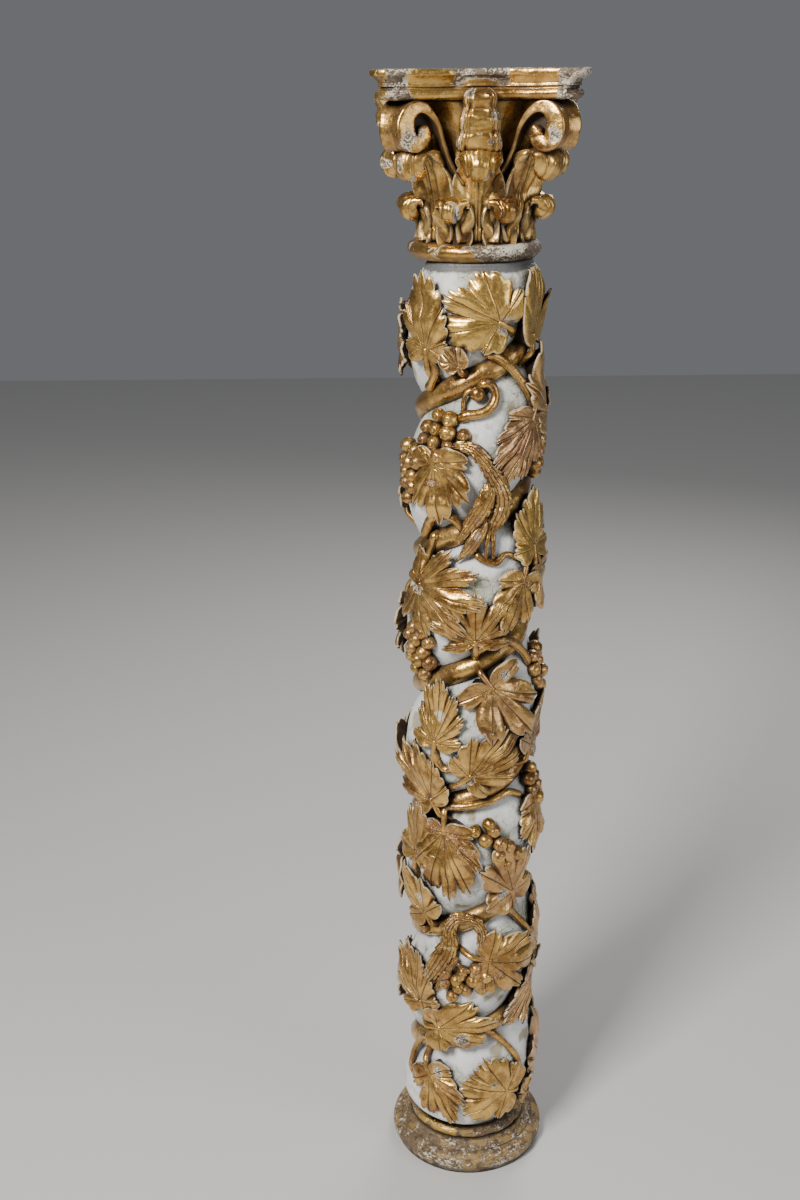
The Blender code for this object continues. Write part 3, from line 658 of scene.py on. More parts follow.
# Dirt and painted shade: the gold darkens in nooks, found by ambient occlusion, in the cut lines
# of ribs and veins, and under edges and in holes.
nook_dirt_and_shade = add(shelter(tree, 0.020), spread(middling, -0.10, 0.15))
grime_and_shade = add(between(nook_dirt_and_shade, 0.20, 0.58, 0.0, 0.98), times(lines, 0.80), times(shade_and_dust, 0.75))
skin = blend(grime_and_shade, skin, GOLD_GRIME_AND_SHADE)
dull = add(chalk, larger(wood, bare_skin), times(grime_and_shade, 0.8))
roughness = add_node(tree, "Mix", {"Factor": dull, 2: spread(fine, 0.20, 0.38), 3: 0.72})
facets = noise(spot, 105.0, 1.5, 0.45)
relief = add(spread(facets, 0.0, 0.30), spread(fine, 0.0, 0.035), 0.6)
relief = minus(relief, times(lines, 0.40), times(chips, 0.12), times(bare_skin, 0.40))
shader.inputs["Coat Roughness"].default_value = 0.16
finish_shader(shader, {"Base Color": skin, "Metallic": between(dull, 0.0, 1.0, 0.95, 0.0),
                       "Roughness": roughness.outputs[0],
                       "Coat Weight": between(dull, 0.0, 0.8, 0.40, 0.0)}, relief, 0.0013)
dress(stem_piece, gilding, "painted_and_gilded_wood", "shaft")

# The front's vine leaves, carved from the shaft's wood and undercut at their edges. Each is
# given by its stalk's angle, height in turns, the way its tip points, its length and width
# in turns, its gold's tone, how wide its lobes are and how far forward they sweep.
LEAF_HEART = 0.06
LEAF_SPREAD = 1.25
LEAF_RELIEF = 0.013
LEAF_DIP = 0.008
LEAF_EDGE = 0.0030
LEAF_SWELL = 0.0024
LEAF_VALLEY = 0.0064
LEAF_RIPPLE = 0.0042
LEAF_RIB_GROOVE = 0.0007
LEAF_HALF_COLUMNS = 13
LEAF_ROWS = 19
# A leaf's side lobes, their ways in degrees from the tip's and their lengths, go by its least
# width of lobe and its least and greatest sweep.
LEAF_LOBES = (
    (0.47, -1.0, 2.0, (22.0, 46.0), (0.92, 0.78)),
    (0.37, 0.95, 2.0, (38.0, 78.0), (0.68, 0.50)),
    (0.00, 0.95, 2.0, (24.0, 48.0, 82.0), (0.82, 0.68, 0.52)),
    (0.00, 0.70, 2.0, (27.0, 54.0, 88.0), (0.90, 0.78, 0.56)),
    (0.00, -1.0, 0.12, (33.0, 66.0, 104.0), (0.90, 0.80, 0.60)),
    (0.00, -1.0, 0.24, (46.0, 94.0), (0.92, 0.66)),
)
# angle, height in turns and size in metres of the spots where a leaf has lost its gilding
LOST_SPOTS = (
    (24, 6.20, 0.011), (-30, 5.47, 0.009), (-52, 4.42, 0.009), (-28, 3.53, 0.008),
    (27, 3.82, 0.009), (-3, 3.04, 0.007), (28, 2.10, 0.010), (-47, 2.03, 0.007),
    (-7, 0.88, 0.010), (-28, 0.56, 0.009), (20, 0.47, 0.006), (72, 3.12, 0.009),
    (80, 2.60, 0.009), (150, 5.60, 0.010), (190, 4.20, 0.011), (215, 2.40, 0.010),
    (140, 1.60, 0.011), (230, 6.00, 0.009), (175, 0.80, 0.010),
)
UPPER_LEAVES = (
    (-45, 6.00, 90, 0.50, 0.40, 0.25, 0.40, 1.0), (21, 6.21, 150, 0.39, 0.41, 0.45, 0.42, 0.20),
    (58, 6.08, 93, 0.46, 0.28, 0.45, 0.50, 0.8), (84, 5.57, 110, 0.50, 0.38, -0.25, 0.36, 0.4),
    (54, 5.61, -118, 0.50, 0.46, -0.65, 0.27, 1.0), (-34, 5.35, -85, 0.44, 0.40, 0.10, 0.36, 0.45),
    (59, 4.66, 90, 0.44, 0.38, 0.50, 0.34, 0.5), (-55, 4.45, -12, 0.50, 0.56, -0.05, 0.20, 0.1),
    (1, 4.06, 92, 0.38, 0.48, -0.05, 0.21, 0.1), (43, 4.50, -110, 0.40, 0.36, 0.05, 0.34, 0.6),
    (68, 4.54, -70, 0.38, 0.34, 0.05, 0.34, 0.6), (-33, 3.28, 85, 0.52, 0.42, 0.20, 0.24, 1.0),
    (13, 3.76, -55, 0.50, 0.48, -0.25, 0.30, 0.3), (-6, 3.05, 40, 0.50, 0.44, 0.05, 0.27, 0.8),
    (-15, 5.93, 118, 0.16, 0.16, -0.30, 0.55, 0.2),
)
LOWER_LEAVES = (
    (60, 3.17, 60, 0.44, 0.36, -0.10, 0.30, 0.6), (-36, 2.81, 125, 0.50, 0.40, 0.00, 0.30, 0.8),
    (-25, 2.65, -85, 0.56, 0.46, 0.00, 0.29, 0.8), (69, 2.75, -100, 0.40, 0.32, -0.05, 0.33, 0.6),
    (-53, 2.35, 87, 0.44, 0.36, 0.05, 0.33, 0.6), (39, 2.06, 105, 0.52, 0.42, -0.30, 0.34, 0.3),
    (-42, 1.88, 122, 0.40, 0.35, 0.10, 0.33, 0.6), (83, 1.37, 90, 0.56, 0.36, -0.45, 0.33, 0.8),
    (11, 1.58, -15, 0.50, 0.46, 0.10, 0.34, 0.5), (-44, 1.10, 110, 0.50, 0.36, 0.05, 0.28, 0.8),
    (-32, 0.94, 13, 0.46, 0.34, 0.30, 0.38, 0.2), (84, 1.31, -140, 0.55, 0.34, -0.55, 0.36, 0.8),
    (83, 0.35, 90, 0.48, 0.36, -0.60, 0.33, 0.6), (-38, 0.53, -57, 0.44, 0.36, 0.05, 0.34, 0.5),
    (34, 0.37, 160, 0.40, 0.42, 0.15, 0.44, 0.2),
    (58, 0.20, 80, 0.20, 0.17, 0.00, 0.40, 0.3),
)


def leaf_outline(ways, lengths, slender, turn):
    """Radius of a leaf's outline and the lobe it belongs to at each turn from its tip. A
    lobe is an ellipse through the heart: r = length b b c / (b b c c + (1 - c c) / 4), with
    c the cosine of the angle to the lobe's way and b its half width over its length."""
    cosine = np.maximum(np.cos(turn[:, None] - ways[None]), 0.0)
    reach = lengths * slender ** 2 * cosine / (slender ** 2 * cosine ** 2
                                               + (1 - cosine ** 2) / 4)
    return reach.max(1), reach.argmax(1)


def on_shaft(degrees, turns, way, along, across):
    """Angle and height of places laid out along and across a way from a foot, in metres."""
    heading = math.radians(way)
    height = (SHAFT_BOTTOM + turns * PITCH + along * math.sin(heading)
              + across * math.cos(heading))
    height = np.clip(height, SHAFT_BOTTOM + NECK_HEIGHT, SHAFT_TOP - NECK_HEIGHT)
    aside = along * math.cos(heading) - across * math.sin(heading)
    return math.radians(degrees) + aside / crest(height), height


def leaf_lobes(slender, sweep, chance):
    """The way of each lobe in radians from the tip's and its length in the leaf's."""
    side_ways = (52.0 - 18.0 * sweep, 106.0 - 34.0 * sweep)
    side_lengths = (0.82, 0.62 + 0.08 * sweep)
    for least_width, least_sweep, most_sweep, some_ways, some_lengths in LEAF_LOBES[::-1]:
        if slender > least_width and least_sweep < sweep < most_sweep:
            side_ways, side_lengths = some_ways, some_lengths
    side_ways, side_lengths = np.array(side_ways), np.array(side_lengths)
    ways = np.concatenate([-side_ways[::-1], [0.0], side_ways])
    ways = np.radians(ways + chance.uniform(-3.5, 3.5, len(ways)))
    lengths = np.concatenate([side_lengths[::-1], [1 - LEAF_HEART], side_lengths])
    return ways, lengths * chance.uniform(0.94, 1.04, len(ways))


def leaf_columns(ways, lengths, slender, half_columns):
    """A leaf's columns, from valley to valley: turn from the tip's way, place between a rib
    at 0 and a valley at 1, side of the rib, lobe, and the turn from that rib to the valley."""
    fine_turns = np.linspace(-math.pi, math.pi, 1441)
    owner = leaf_outline(ways, lengths, slender, fine_turns)[1]
    changes = fine_turns[1:][np.diff(owner) == 1]
    spread_out = np.linspace(0.0, 1.0, half_columns + 1) ** 1.35
    columns = []
    limits = np.concatenate([[-math.pi], changes, [math.pi]])
    for lobe, (low, high) in enumerate(zip(limits[:-1], limits[1:])):
        for side, place, valley in ((-1.0, spread_out[::-1][:-1], low),
                                    (1.0, spread_out[:-1], high)):
            columns.append(np.stack([ways[lobe] + (valley - ways[lobe]) * place, place,
                                     0 * place + side, 0 * place + lobe,
                                     0 * place + side * (valley - ways[lobe])]))
    turn, inside, side, lobe, half_turn = np.concatenate(columns, axis=1)
    return turn, inside, side, lobe.astype(int), half_turn


def leaf_lift(ring, columns, lobes, notch, rib, blade, chance):
    """How far a leaf's face stands out: it rises towards its edge, its lobes are rounded
    between grooved ribs and sunken valleys, lean, curl at their ends, and the blade ripples."""
    radius, turn, inside, side, lobe, half_turn = columns
    filled = np.minimum(ring, 1.0)
    fullness = np.clip(half_turn / 0.42, 0.3, 1.0)
    outer_part = step_up(filled, 0.40, 1.0)
    lift = LEAF_RELIEF * (0.70 + filled * (0.48 * radius - 0.12))
    lift += LEAF_SWELL * fullness * np.sin(math.pi * inside ** 0.6) * outer_part
    lift -= LEAF_VALLEY * fullness * inside ** 4 * outer_part
    lift += LEAF_RIPPLE * cloud(blade, 0.021, 35) * step_up(filled, 0.10, 0.50)
    lift += 0.0012 * (notch - 0.7) * step_up(filled, 0.60, 1.0)
    lift -= (LEAF_RIB_GROOVE * np.exp(-(rib / 0.0009) ** 2) * step_up(filled, 0.05, 0.45)
             * (1 - filled ** 8))
    lift += side * inside * outer_part * chance.uniform(-0.0024, 0.0024, lobes)[lobe]
    curl = chance.uniform(-0.010, 0.004, lobes)[lobe]
    lift += curl * np.clip(radius * ring - 0.35, 0.0, 1.0) ** 2 / 0.30
    tilt = chance.uniform(-0.0016, 0.0016, 2)
    lift += (tilt[0] * np.cos(turn) + tilt[1] * np.sin(turn)) * filled
    return lift - 0.0010 * filled ** 12


def vine_leaf(leaf, seed, half_columns, rows):
    """One leaf as a closed skin: rings from its heart to its edge, around the edge and back
    under it to a root in the shaft. Its columns crowd at the ribs, where it is grooved."""
    degrees, turns, way, length, width, tone, slender, sweep = leaf
    chance = np.random.default_rng(seed)
    ways, lengths = leaf_lobes(slender, sweep, chance)
    turn, inside, side, lobe, half_turn = leaf_columns(ways, lengths, slender, half_columns)
    radius = leaf_outline(ways, lengths, slender, turn)[0]
    teeth = chance.integers(1, 3)
    notch = np.abs(np.cos(math.pi * (teeth + 0.5) * inside ** 0.8)) ** 0.6
    tooth = 0.05 if slender > 0.47 else 0.15
    radius = radius * (1.04 - tooth + tooth * notch) * (1 + 0.03 * np.exp(-inside / 0.08))
    radius = np.maximum(radius, 0.07)
    face_rings = np.linspace(0.03, 1.0, rows) ** 0.85
    ring = np.concatenate([face_rings, [1.006, 1.0, 0.985, 0.88, 0.70, 0.5]])[:, None]
    along = radius * ring * np.cos(turn) * length * PITCH
    across = radius * ring * np.sin(turn) / LEAF_SPREAD * width * PITCH
    rib_way = np.stack([np.cos(ways) * length, np.sin(ways) / LEAF_SPREAD * width])
    rib_along, rib_across = (rib_way / np.linalg.norm(rib_way, axis=0))[:, lobe]
    reach = along * rib_along + across * rib_across
    rib = np.abs(along * rib_across - across * rib_along)
    along += LEAF_HEART * length * PITCH
    blade = np.stack([along, across, 0.0 * along], -1) + 0.37 * seed
    lift = leaf_lift(ring, (radius, turn, inside, side, lobe, half_turn), len(ways), notch,
                     rib, blade, chance)
    angle, height = on_shaft(degrees, turns, way, along, across)
    out = seat_radius(angle, height, LEAF_DIP) + lift
    root = ground_radius(angle, height)
    out[rows] -= 0.0008
    out[rows + 1] -= LEAF_EDGE - 0.0007
    out[rows + 2] -= LEAF_EDGE
    out[rows + 3] = np.maximum(out[rows + 3] - LEAF_EDGE - 0.002, root[rows + 3] - 0.001)
    out[rows + 4:] = np.minimum(root[rows + 4:] - 0.002, out[rows + 4:] - LEAF_EDGE - 0.003)
    points = around(angle, out, height)
    push_out(points[:rows], 0.0006 * cloud(points[:rows], 0.010, 31))
    lost = sum(np.exp(-(((angle - math.radians(spot_degrees)) * crest(height)) ** 2
                        + (height - SHAFT_BOTTOM - spot_turns * PITCH) ** 2) / spot_size ** 2)
               for spot_degrees, spot_turns, spot_size in LOST_SPOTS)
    return gilded(points, tone=tone + 0.15 * cloud(points, 0.03, 33),
                  wear=0.35 * cloud(points, 0.020, 32) + chance.uniform(-0.1, 0.25),
                  bare=lost * (0.85 + 0.5 * cloud(points, 0.006, 34)),
                  # The rows under a leaf's edge get painted shade.
                  shade_and_dust=(np.arange(len(ring)) >= rows + 2)[:, None],
                  edge=np.abs(1 - ring) * radius * 50 * (length + width) * PITCH,
                  rib=rib * 100, reach=reach * 100)


def carved_on_shaft(name, skins):
    """A gilded piece of skins that are carved in one with the shaft."""
    dress(closed_skins(name, skins), gilding, "painted_and_gilded_wood", "shaft")


for name, leaves, first_seed in (("upper_leaves", UPPER_LEAVES, 100),
                                 ("lower_leaves", LOWER_LEAVES, 200)):
    carved_on_shaft(name, [vine_leaf(leaf, first_seed + index, LEAF_HALF_COLUMNS, LEAF_ROWS)
                           for index, leaf in enumerate(leaves)])

# The leaves around the back, carved like the front's but plainer. They keep a rhythm, four to
# each turn of the round between the grooves, pointing up and down by turns.
BACK_ANGLES = (119, 163, 207, 251)
BACK_HALF_COLUMNS = 9
BACK_ROWS = 15

back_leaves = []
for turn in range(-1, math.ceil(TWIST_TURNS)):
    for step, degrees in enumerate(BACK_ANGLES):
        middle = FIRST_GROOVE + degrees / 360 + turn + 0.5
        downwards = (turn + step) % 2
        if 0.42 < middle < TWIST_TURNS - 0.32:
            back_leaves.append((degrees, middle + (0.15 if downwards else -0.15),
                                -75 if downwards else 105, 0.40, 0.36,
                                0.4 * math.sin(5.0 * middle), 0.31,
                                0.5 + 0.4 * math.sin(8.0 * middle)))
carved_on_shaft("back_leaves", [vine_leaf(leaf, 300 + index, BACK_HALF_COLUMNS, BACK_ROWS)
                                for index, leaf in enumerate(back_leaves)])

# The capital's bell and astragal, turned from one block with the capital and gilded. The
# astragal's gold holds at the left and is worn to gesso and bare wood at the right.
CAPITAL_TOP = 1.550
ABACUS_HEIGHT = 0.034
ASTRAGAL_HEIGHT = 0.022
ASTRAGAL_OVERHANG = 0.010
BELL_RADIUS = 0.066
BELL_LIP = 0.086
BELL_COLUMNS = 180
BELL_ROWS = 96
ASTRAGAL_SHADE_FROM = 1.334
ASTRAGAL_SHADE_TO = 1.342


def carved_on_capital(name, skins):
    """A gilded piece of skins that are carved in one with the capital."""
    dress(closed_skins(name, skins), gilding, "gilding", "capital")


capital_low, capital_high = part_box("capital")
bell_bottom = capital_low.z + ASTRAGAL_HEIGHT
abacus_bottom = CAPITAL_TOP - ABACUS_HEIGHT
bell_height = abacus_bottom - bell_bottom
astragal_out = HEAD_NECK + ASTRAGAL_OVERHANG
bell_rise = np.linspace(0.0, 1.0, 24)
bell_outline = [(AXIS_GAP, capital_low.z), (astragal_out - 0.013, capital_low.z)]
bell_outline += [(astragal_out - 0.007, capital_low.z + 0.001),
                 (astragal_out - 0.006, capital_low.z + 0.003)]
bell_outline += arc(astragal_out - 0.0085, bell_bottom - 0.0095, 0.0085, 0.0085, -80, 88)
bell_outline += list(zip(BELL_RADIUS + (BELL_LIP - BELL_RADIUS) * bell_rise ** 3,
                         bell_bottom + 0.001 + (bell_height - 0.001) * bell_rise))
bell_outline += [(AXIS_GAP, abacus_bottom + 0.010)]
bell = turned_points(*resampled(bell_outline, BELL_ROWS), BELL_COLUMNS)
bell_out = np.hypot(bell[..., 0], bell[..., 1])
bell_round = degrees_round(bell)
on_astragal = step_up(bell_out, 0.073, 0.076)
on_astragal *= 1 - step_up(bell[..., 2], bell_bottom - 0.001, bell_bottom + 0.003)
ragged_round = bell_round + 16 * cloud(bell, 0.010, 38) + 8 * cloud(bell, 0.004, 39)
rubbed = step_up(ragged_round, -8, 8) * (1 - step_up(ragged_round, 120, 150))
flaked = step_up(cloud(bell, 0.016, 41) + 0.5 * cloud(bell, 0.006, 42) + 0.9 * rubbed, 0.55, 0.7)
uneven = 0.0006 * cloud(bell, 0.010, 43) + 0.0009 * cloud(bell, 0.035, 44)
push_out(bell, (uneven - 0.0010 * flaked) * on_astragal)
# The astragal's lowest part, just over the shaft's neck, gets painted shade.
carved_on_capital("bell_and_astragal", [gilded(
    bell, tone=0.2, wear=0.3 * on_astragal,
    bare=on_astragal * np.clip(0.95 * rubbed + 0.5 * flaked, 0.0, 1.0),
    shade_and_dust=0.45 * on_astragal * (1 - step_up(bell[..., 2], ASTRAGAL_SHADE_FROM, ASTRAGAL_SHADE_TO)))])

# Two rows of eight acanthus leaves, carved in one with the bell. Each climbs, leans out and
# rolls over at its tip, and is fluted from a middle rib out to the lobes of its edge.
ACANTHUS_ROUTE = (
    (0.00, 0.00, 0.74), (0.07, 0.26, 0.92), (0.14, 0.52, 1.00), (0.28, 0.76, 0.94),
    (0.48, 0.93, 0.88), (0.74, 1.00, 0.84), (0.94, 0.97, 0.88), (1.00, 0.89, 0.90),
    (0.91, 0.82, 0.84), (0.80, 0.85, 0.60),
)
ACANTHUS_ROWS = 72
ACANTHUS_FRONT = 33
ACANTHUS_THICKNESS = 0.0045
ACANTHUS_ROLL = 0.0070
FLUTE_DEPTH = 0.0068
BACK_FLUTE_DEPTH = 0.0030
MIDRIB_DEPTH = 0.0022
MIDRIB_WIDTH = 0.0016


def radial_frame(degrees):
    """Unit vectors away from the axis, across to the right seen from outside, and up."""
    angle = math.radians(degrees)
    return (around(angle, 1.0, 0.0), around(angle + math.pi / 2, 1.0, 0.0),
            np.array([0.0, 0.0, 1.0]))


def rounded_end(gone, start, least):
    """1 along a strap, and from the start on down to the end along a quarter circle."""
    over = np.clip((gone - start) / (1 - start), 0.0, 1.0)
    return np.sqrt(np.clip(1 - over ** 2, least, 1.0))


def acanthus(degrees, foot, height, width, reach, tip, flutes, seed):
    """One acanthus leaf as a closed skin of rings along its spine. A ring is a fluted face
    in front, from edge to edge, and a plain one behind it, which shows where it rolls over."""
    outward, across, upward = radial_frame(degrees)
    chance = np.random.default_rng(seed)
    away, rise, share = swept(ACANTHUS_ROUTE, ACANTHUS_ROWS).T[..., None]
    start = BELL_RADIUS + 0.002
    reach = reach * chance.uniform(0.985, 1.015)
    spine = outward * (start + (reach - start) * away) + upward * (foot + height * rise)
    face = np.cross(across, directions(spine))
    gone = np.linspace(0.0, 1.0, ACANTHUS_ROWS)[:, None]
    rolled = step_up(gone, 0.55, 0.80)
    lobes = np.abs(np.cos(math.pi * flutes * gone)) ** 0.6
    close = rounded_end(gone, 0.94, 0.02)
    half = width / 2 * share * (0.84 + 0.24 * lobes * (1 - 0.7 * rolled))
    half = half * (1 - (1 - tip) * rolled) * close
    thick = (ACANTHUS_THICKNESS + ACANTHUS_ROLL * rolled) * close
    front = np.linspace(-1.0, 1.0, ACANTHUS_FRONT)
    place = np.concatenate([front, front[::-1] * 0.99])[None]
    is_front = (np.arange(place.size) < ACANTHUS_FRONT)[None]
    sideways = place * half
    size = np.abs(place)
    flute = np.abs(np.cos(math.pi * (flutes * gone + 0.9 * (1 - size)))) ** 0.7 - 0.6
    flute = flute * step_up(size, 0.22, 0.5)
    flute = flute * np.where(is_front, FLUTE_DEPTH * (1 - 0.78 * rolled), BACK_FLUTE_DEPTH)
    midrib, crease = (np.exp(-((np.abs(sideways) - off_middle) / MIDRIB_WIDTH) ** 2)
                      for off_middle in (0.0026, 0.0064))
    relief = flute + MIDRIB_DEPTH * (midrib - crease) * (1 - 0.7 * rolled)
    fold = 0.0052 * np.exp(-((size - 0.56) / 0.09) ** 2) + 0.0050 * step_up(size, 0.50, 1.0)
    plump = 0.0030 * (1 - size ** 2.5)
    lift = np.where(is_front, relief + 0.0060 * (1 - rolled) * size ** 2,
                    (fold - plump) * rolled - thick * (1 - 0.5 * size ** 4) - 0.6 * relief)
    wrap = sideways ** 2 / (2 * (start + (reach - start) * away * 0.6))
    points = (spine[:, None] + across * sideways[..., None] + face[:, None] * lift[..., None]
              - outward * wrap[..., None])
    points[..., 2] += chance.uniform(-0.05, 0.05) * rolled * sideways
    uneven = 0.0028 * cloud(points, 0.017, 45) + 0.0007 * cloud(points, 0.006, 48)
    points = points + outward * uneven[..., None]
    wear = 0.35 * cloud(points, 0.022, 46) + 0.10 * rolled + chance.uniform(-0.15, 0.15)
    return gilded(points, tone=0.10 + 0.35 * cloud(points, 0.04, 47), wear=wear,
                  bare=0.6 * rolled * step_up(cloud(points, 0.013, 49), 0.3, 0.7),
                  # The fluted face, where it turns under in the roll, gets painted shade.
                  shade_and_dust=is_front * 0.6 * rolled * (1 - step_up(gone, 0.80, 0.95)),
                  edge=np.where(is_front, (1 - size) * half * 100 + 0.04, 1.0),
                  rib=np.abs(sideways) * 100, reach=height * 160 * gone * is_front)


carved_on_capital("lower_acanthus", [
    acanthus(22.5 + 45 * index, bell_bottom - 0.002, bell_height * 0.31, 0.050, 0.087, 0.78,
             3.0, 500 + index) for index in range(8)])
carved_on_capital("upper_acanthus", [
    acanthus(45 * index, bell_bottom + bell_height * 0.02, bell_height * 0.63, 0.060,
             0.117 if index % 2 else 0.103, 0.94, 4.0, 520 + index) for index in range(8)])

# Two volutes meet under each corner of the abacus. Each is a strap that rises thin from the
# bell between the leaves, leans out to the corner, swells and rolls inwards to a ball.
VOLUTE_WIDTH = 0.021
VOLUTE_OUT = 0.1225
VOLUTE_SPLAY = 6.5
VOLUTE_START = 29.0
VOLUTE_DROP = 0.029
# distance out from the roll's middle, height over it and half thickness, all in millimetres
VOLUTE_ROUTE = (
    (-50, -46, 2.2), (-38, -24, 2.4), (-29, 0, 2.9), (-19, 14, 4.2), (-7, 21.5, 6.4),
    (5, 19.5, 8.8), (13, 10, 10.5), (14.5, -3, 11.5), (9.5, -14.5, 11.0), (0.5, -18.5, 9.6),
    (-8, -14, 8.6), (-9, -5.5, 8.2), (-5.5, -0.5, 6.0),
)
VOLUTE_ROWS = 110
VOLUTE_COLUMNS = 26
WEB_COLUMNS = 48
# size and depth of each ring of the web, from its front to its back
WEB_RINGS = (
    (0.1, 0.0040), (0.6, 0.0040), (0.95, 0.0045), (1.0, 0.0060), (0.95, 0.0085), (0.6, 0.0085),
    (0.1, 0.0085),
)


def strap_ring(sides, flatness):
    """A closed ring for a strap's section, from -1 to 1 each way: a rounded rectangle."""
    turn = full_turn(sides)
    return (np.sign(np.cos(turn)) * np.abs(np.cos(turn)) ** flatness,
            np.sign(np.sin(turn)) * np.abs(np.sin(turn)) ** flatness)


def volute_plane(corner, side):
    """A volute's start on the bell, the middle of its roll, and the unit vectors along and
    across the upright plane that it lies in."""
    start = around(math.radians(corner + side * VOLUTE_START), BELL_RADIUS + 0.003, 0.0)
    centre = around(math.radians(corner + side * VOLUTE_SPLAY), VOLUTE_OUT, 0.0)
    outward = (centre - start) / np.linalg.norm(centre - start)
    return start, centre, outward, np.cross(outward, [0.0, 0.0, 1.0])


def volute(corner, side):
    """One volute as a closed skin: a strap's section along its route."""
    start, centre, outward, across = volute_plane(corner, side)
    route = [(-1000 * np.linalg.norm(centre - start), -66, 2.0), *VOLUTE_ROUTE]
    out, up, half_thick = swept(route, VOLUTE_ROWS).T / 1000
    spine = centre + outward * out[:, None]
    spine[:, 2] = abacus_bottom - VOLUTE_DROP + up
    face = np.cross(directions(spine), across)
    gone = np.linspace(0.0, 1.0, VOLUTE_ROWS)[:, None]
    close = rounded_end(gone, 0.95, 0.01)
    half = VOLUTE_WIDTH / 2 * (0.65 + 0.35 * step_up(gone, 0.0, 0.35)) * close
    ring_x, ring_y = strap_ring(VOLUTE_COLUMNS, 0.36)
    rim = 1 + 0.12 * np.abs(ring_x) ** 4 - 0.22 * np.exp(-(ring_x / 0.45) ** 2)
    points = (spine[:, None] + across * (ring_x * half)[..., None]
              + face[:, None] * (ring_y * rim * half_thick[:, None] * close)[..., None])
    points = points + across * (0.0012 * cloud(points, 0.012, 51)
                                + 0.0005 * cloud(points, 0.005, 50))[..., None]
    bare = step_up(cloud(points, 0.028, 54), 0.15, 0.55) * step_up(gone, 0.5, 0.7)
    return gilded(points, tone=0.15 + 0.4 * cloud(points, 0.035, 53),
                  wear=0.45 * cloud(points, 0.020, 52) + 0.05, bare=0.9 * bare,
                  # The strap's thin foot, low between the leaves, gets painted shade.
                  shade_and_dust=0.75 * (1 - step_up(gone, 0.22, 0.42)),
                  edge=np.abs(1.25 - np.abs(ring_x) - np.abs(ring_y)) * 1.2)


def volute_web(corner, side):
    """The wood left standing behind a volute's eye, as a flat closed skin: an ellipse, made dark
    all over as painted shade.
    """
    _, centre, outward, across = volute_plane(corner, side)
    turn = full_turn(WEB_COLUMNS)
    size, depth = np.array(WEB_RINGS).T[..., None]
    points = (centre + outward * (-0.007 + size * 0.024 * np.cos(turn))[..., None]
              + across * side * (depth + 0.0 * turn)[..., None])
    points[..., 2] = abacus_bottom - VOLUTE_DROP + 0.001 + size * 0.021 * np.sin(turn)
    return gilded(points, wear=0.2 + 0.2 * cloud(points, 0.02, 59), shade_and_dust=1.0)


carved_on_capital("corner_volutes", [
    make(45 + 90 * index, side) for index in range(4) for side in (-1, 1)
    for make in (volute, volute_web)])

# A console stands on each face over the middle leaf and carries what is left of a flower on
# the abacus. Its flanks are fluted and it bulges forwards under the lower moulding.
CONSOLE_WIDTH = 0.051
CONSOLE_ROWS = 60
CONSOLE_COLUMNS = 64
CONSOLE_FOOT = 0.63
CONSOLE_FLUTE = 0.0042
# height from the console's foot, half width as a share, distance from the axis
CONSOLE_ROUTE = (
    (0.000, 0.62, 0.090), (0.004, 0.95, 0.103), (0.011, 1.06, 0.109), (0.020, 1.00, 0.1125),
    (0.026, 0.92, 0.1130), (0.032, 0.96, 0.1185), (0.042, 0.92, 0.1205), (0.050, 0.82, 0.1165),
    (0.054, 0.74, 0.1175), (0.062, 0.78, 0.1225), (0.069, 0.70, 0.1200), (0.074, 0.42, 0.1080),
)


def console(degrees, seed):
    """One console as a closed skin of level rings: rounded rectangles, grooved in front."""
    outward, across, upward = radial_frame(degrees)
    rise, half, front = swept(CONSOLE_ROUTE, CONSOLE_ROWS).T[..., None]
    ring_x, ring_y = strap_ring(CONSOLE_COLUMNS, 0.62)
    flutes = np.exp(-((np.abs(ring_x) - 0.62) / 0.07) ** 2) * step_up(ring_y, 0.2, 0.6)
    flutes += np.exp(-((np.abs(ring_x) - 0.86) / 0.05) ** 2) * step_up(ring_y, -0.6, 0.0)
    out = BELL_RADIUS + (front - BELL_RADIUS) / 2 * (1 + ring_y) - CONSOLE_FLUTE * flutes
    height = bell_bottom + bell_height * CONSOLE_FOOT + rise
    points = (outward * out[..., None] + upward * height[..., None]
              + across * (ring_x * half * CONSOLE_WIDTH / 2)[..., None])
    uneven = 0.0030 * cloud(points, 0.013, 55 + seed) + 0.0012 * cloud(points, 0.005, 56)
    points = points + outward * uneven[..., None]
    flaking = step_up(cloud(points, 0.014, 57 + seed), 0.25, 0.60)
    return gilded(points, tone=0.25 + 0.4 * cloud(points, 0.03, 58), wear=0.15,
                  bare=0.85 * flaking, edge=0.05 + np.abs(np.abs(ring_x) - 0.86) * 2.5)


carved_on_capital("face_consoles", [console(90 * index, index) for index in range(4)])

# The abacus: four hollow sides between cut corners, with an ovolo, a groove, a cavetto and
# a flat edge. The edge is bare wood with specks of gesso. The flowers have broken off, and
# the front right corner has lost its tip and shows an old nail hole.
ABACUS_WIDTH = 0.253
ABACUS_HOLLOW = 0.022
ABACUS_CUT = 0.016
SIDE_COLUMNS = 76
SCAR_WIDTH = 0.030
BROKEN_HORN = (0.121, -0.113, 1.526)
BREAK_SIZE = 0.013
NAIL_HOLE = (0.104, 1.5255)
NAIL_SIZE = 0.0045
# how far each level stands back from the edge, and its share of the height
ABACUS_PROFILE = (
    (0.0170, 0.00), (0.0105, 0.03), (0.0070, 0.10), (0.0055, 0.19), (0.0060, 0.27),
    (0.0078, 0.315), (0.0116, 0.325), (0.0122, 0.37), (0.0118, 0.42), (0.0092, 0.435),
    (0.0090, 0.475), (0.0102, 0.49), (0.0094, 0.56), (0.0073, 0.64), (0.0046, 0.71),
    (0.0020, 0.765), (0.0004, 0.79), (0.0002, 0.80), (0.0000, 0.88), (0.0002, 0.96),
    (0.0014, 0.995), (0.0040, 1.00),
)

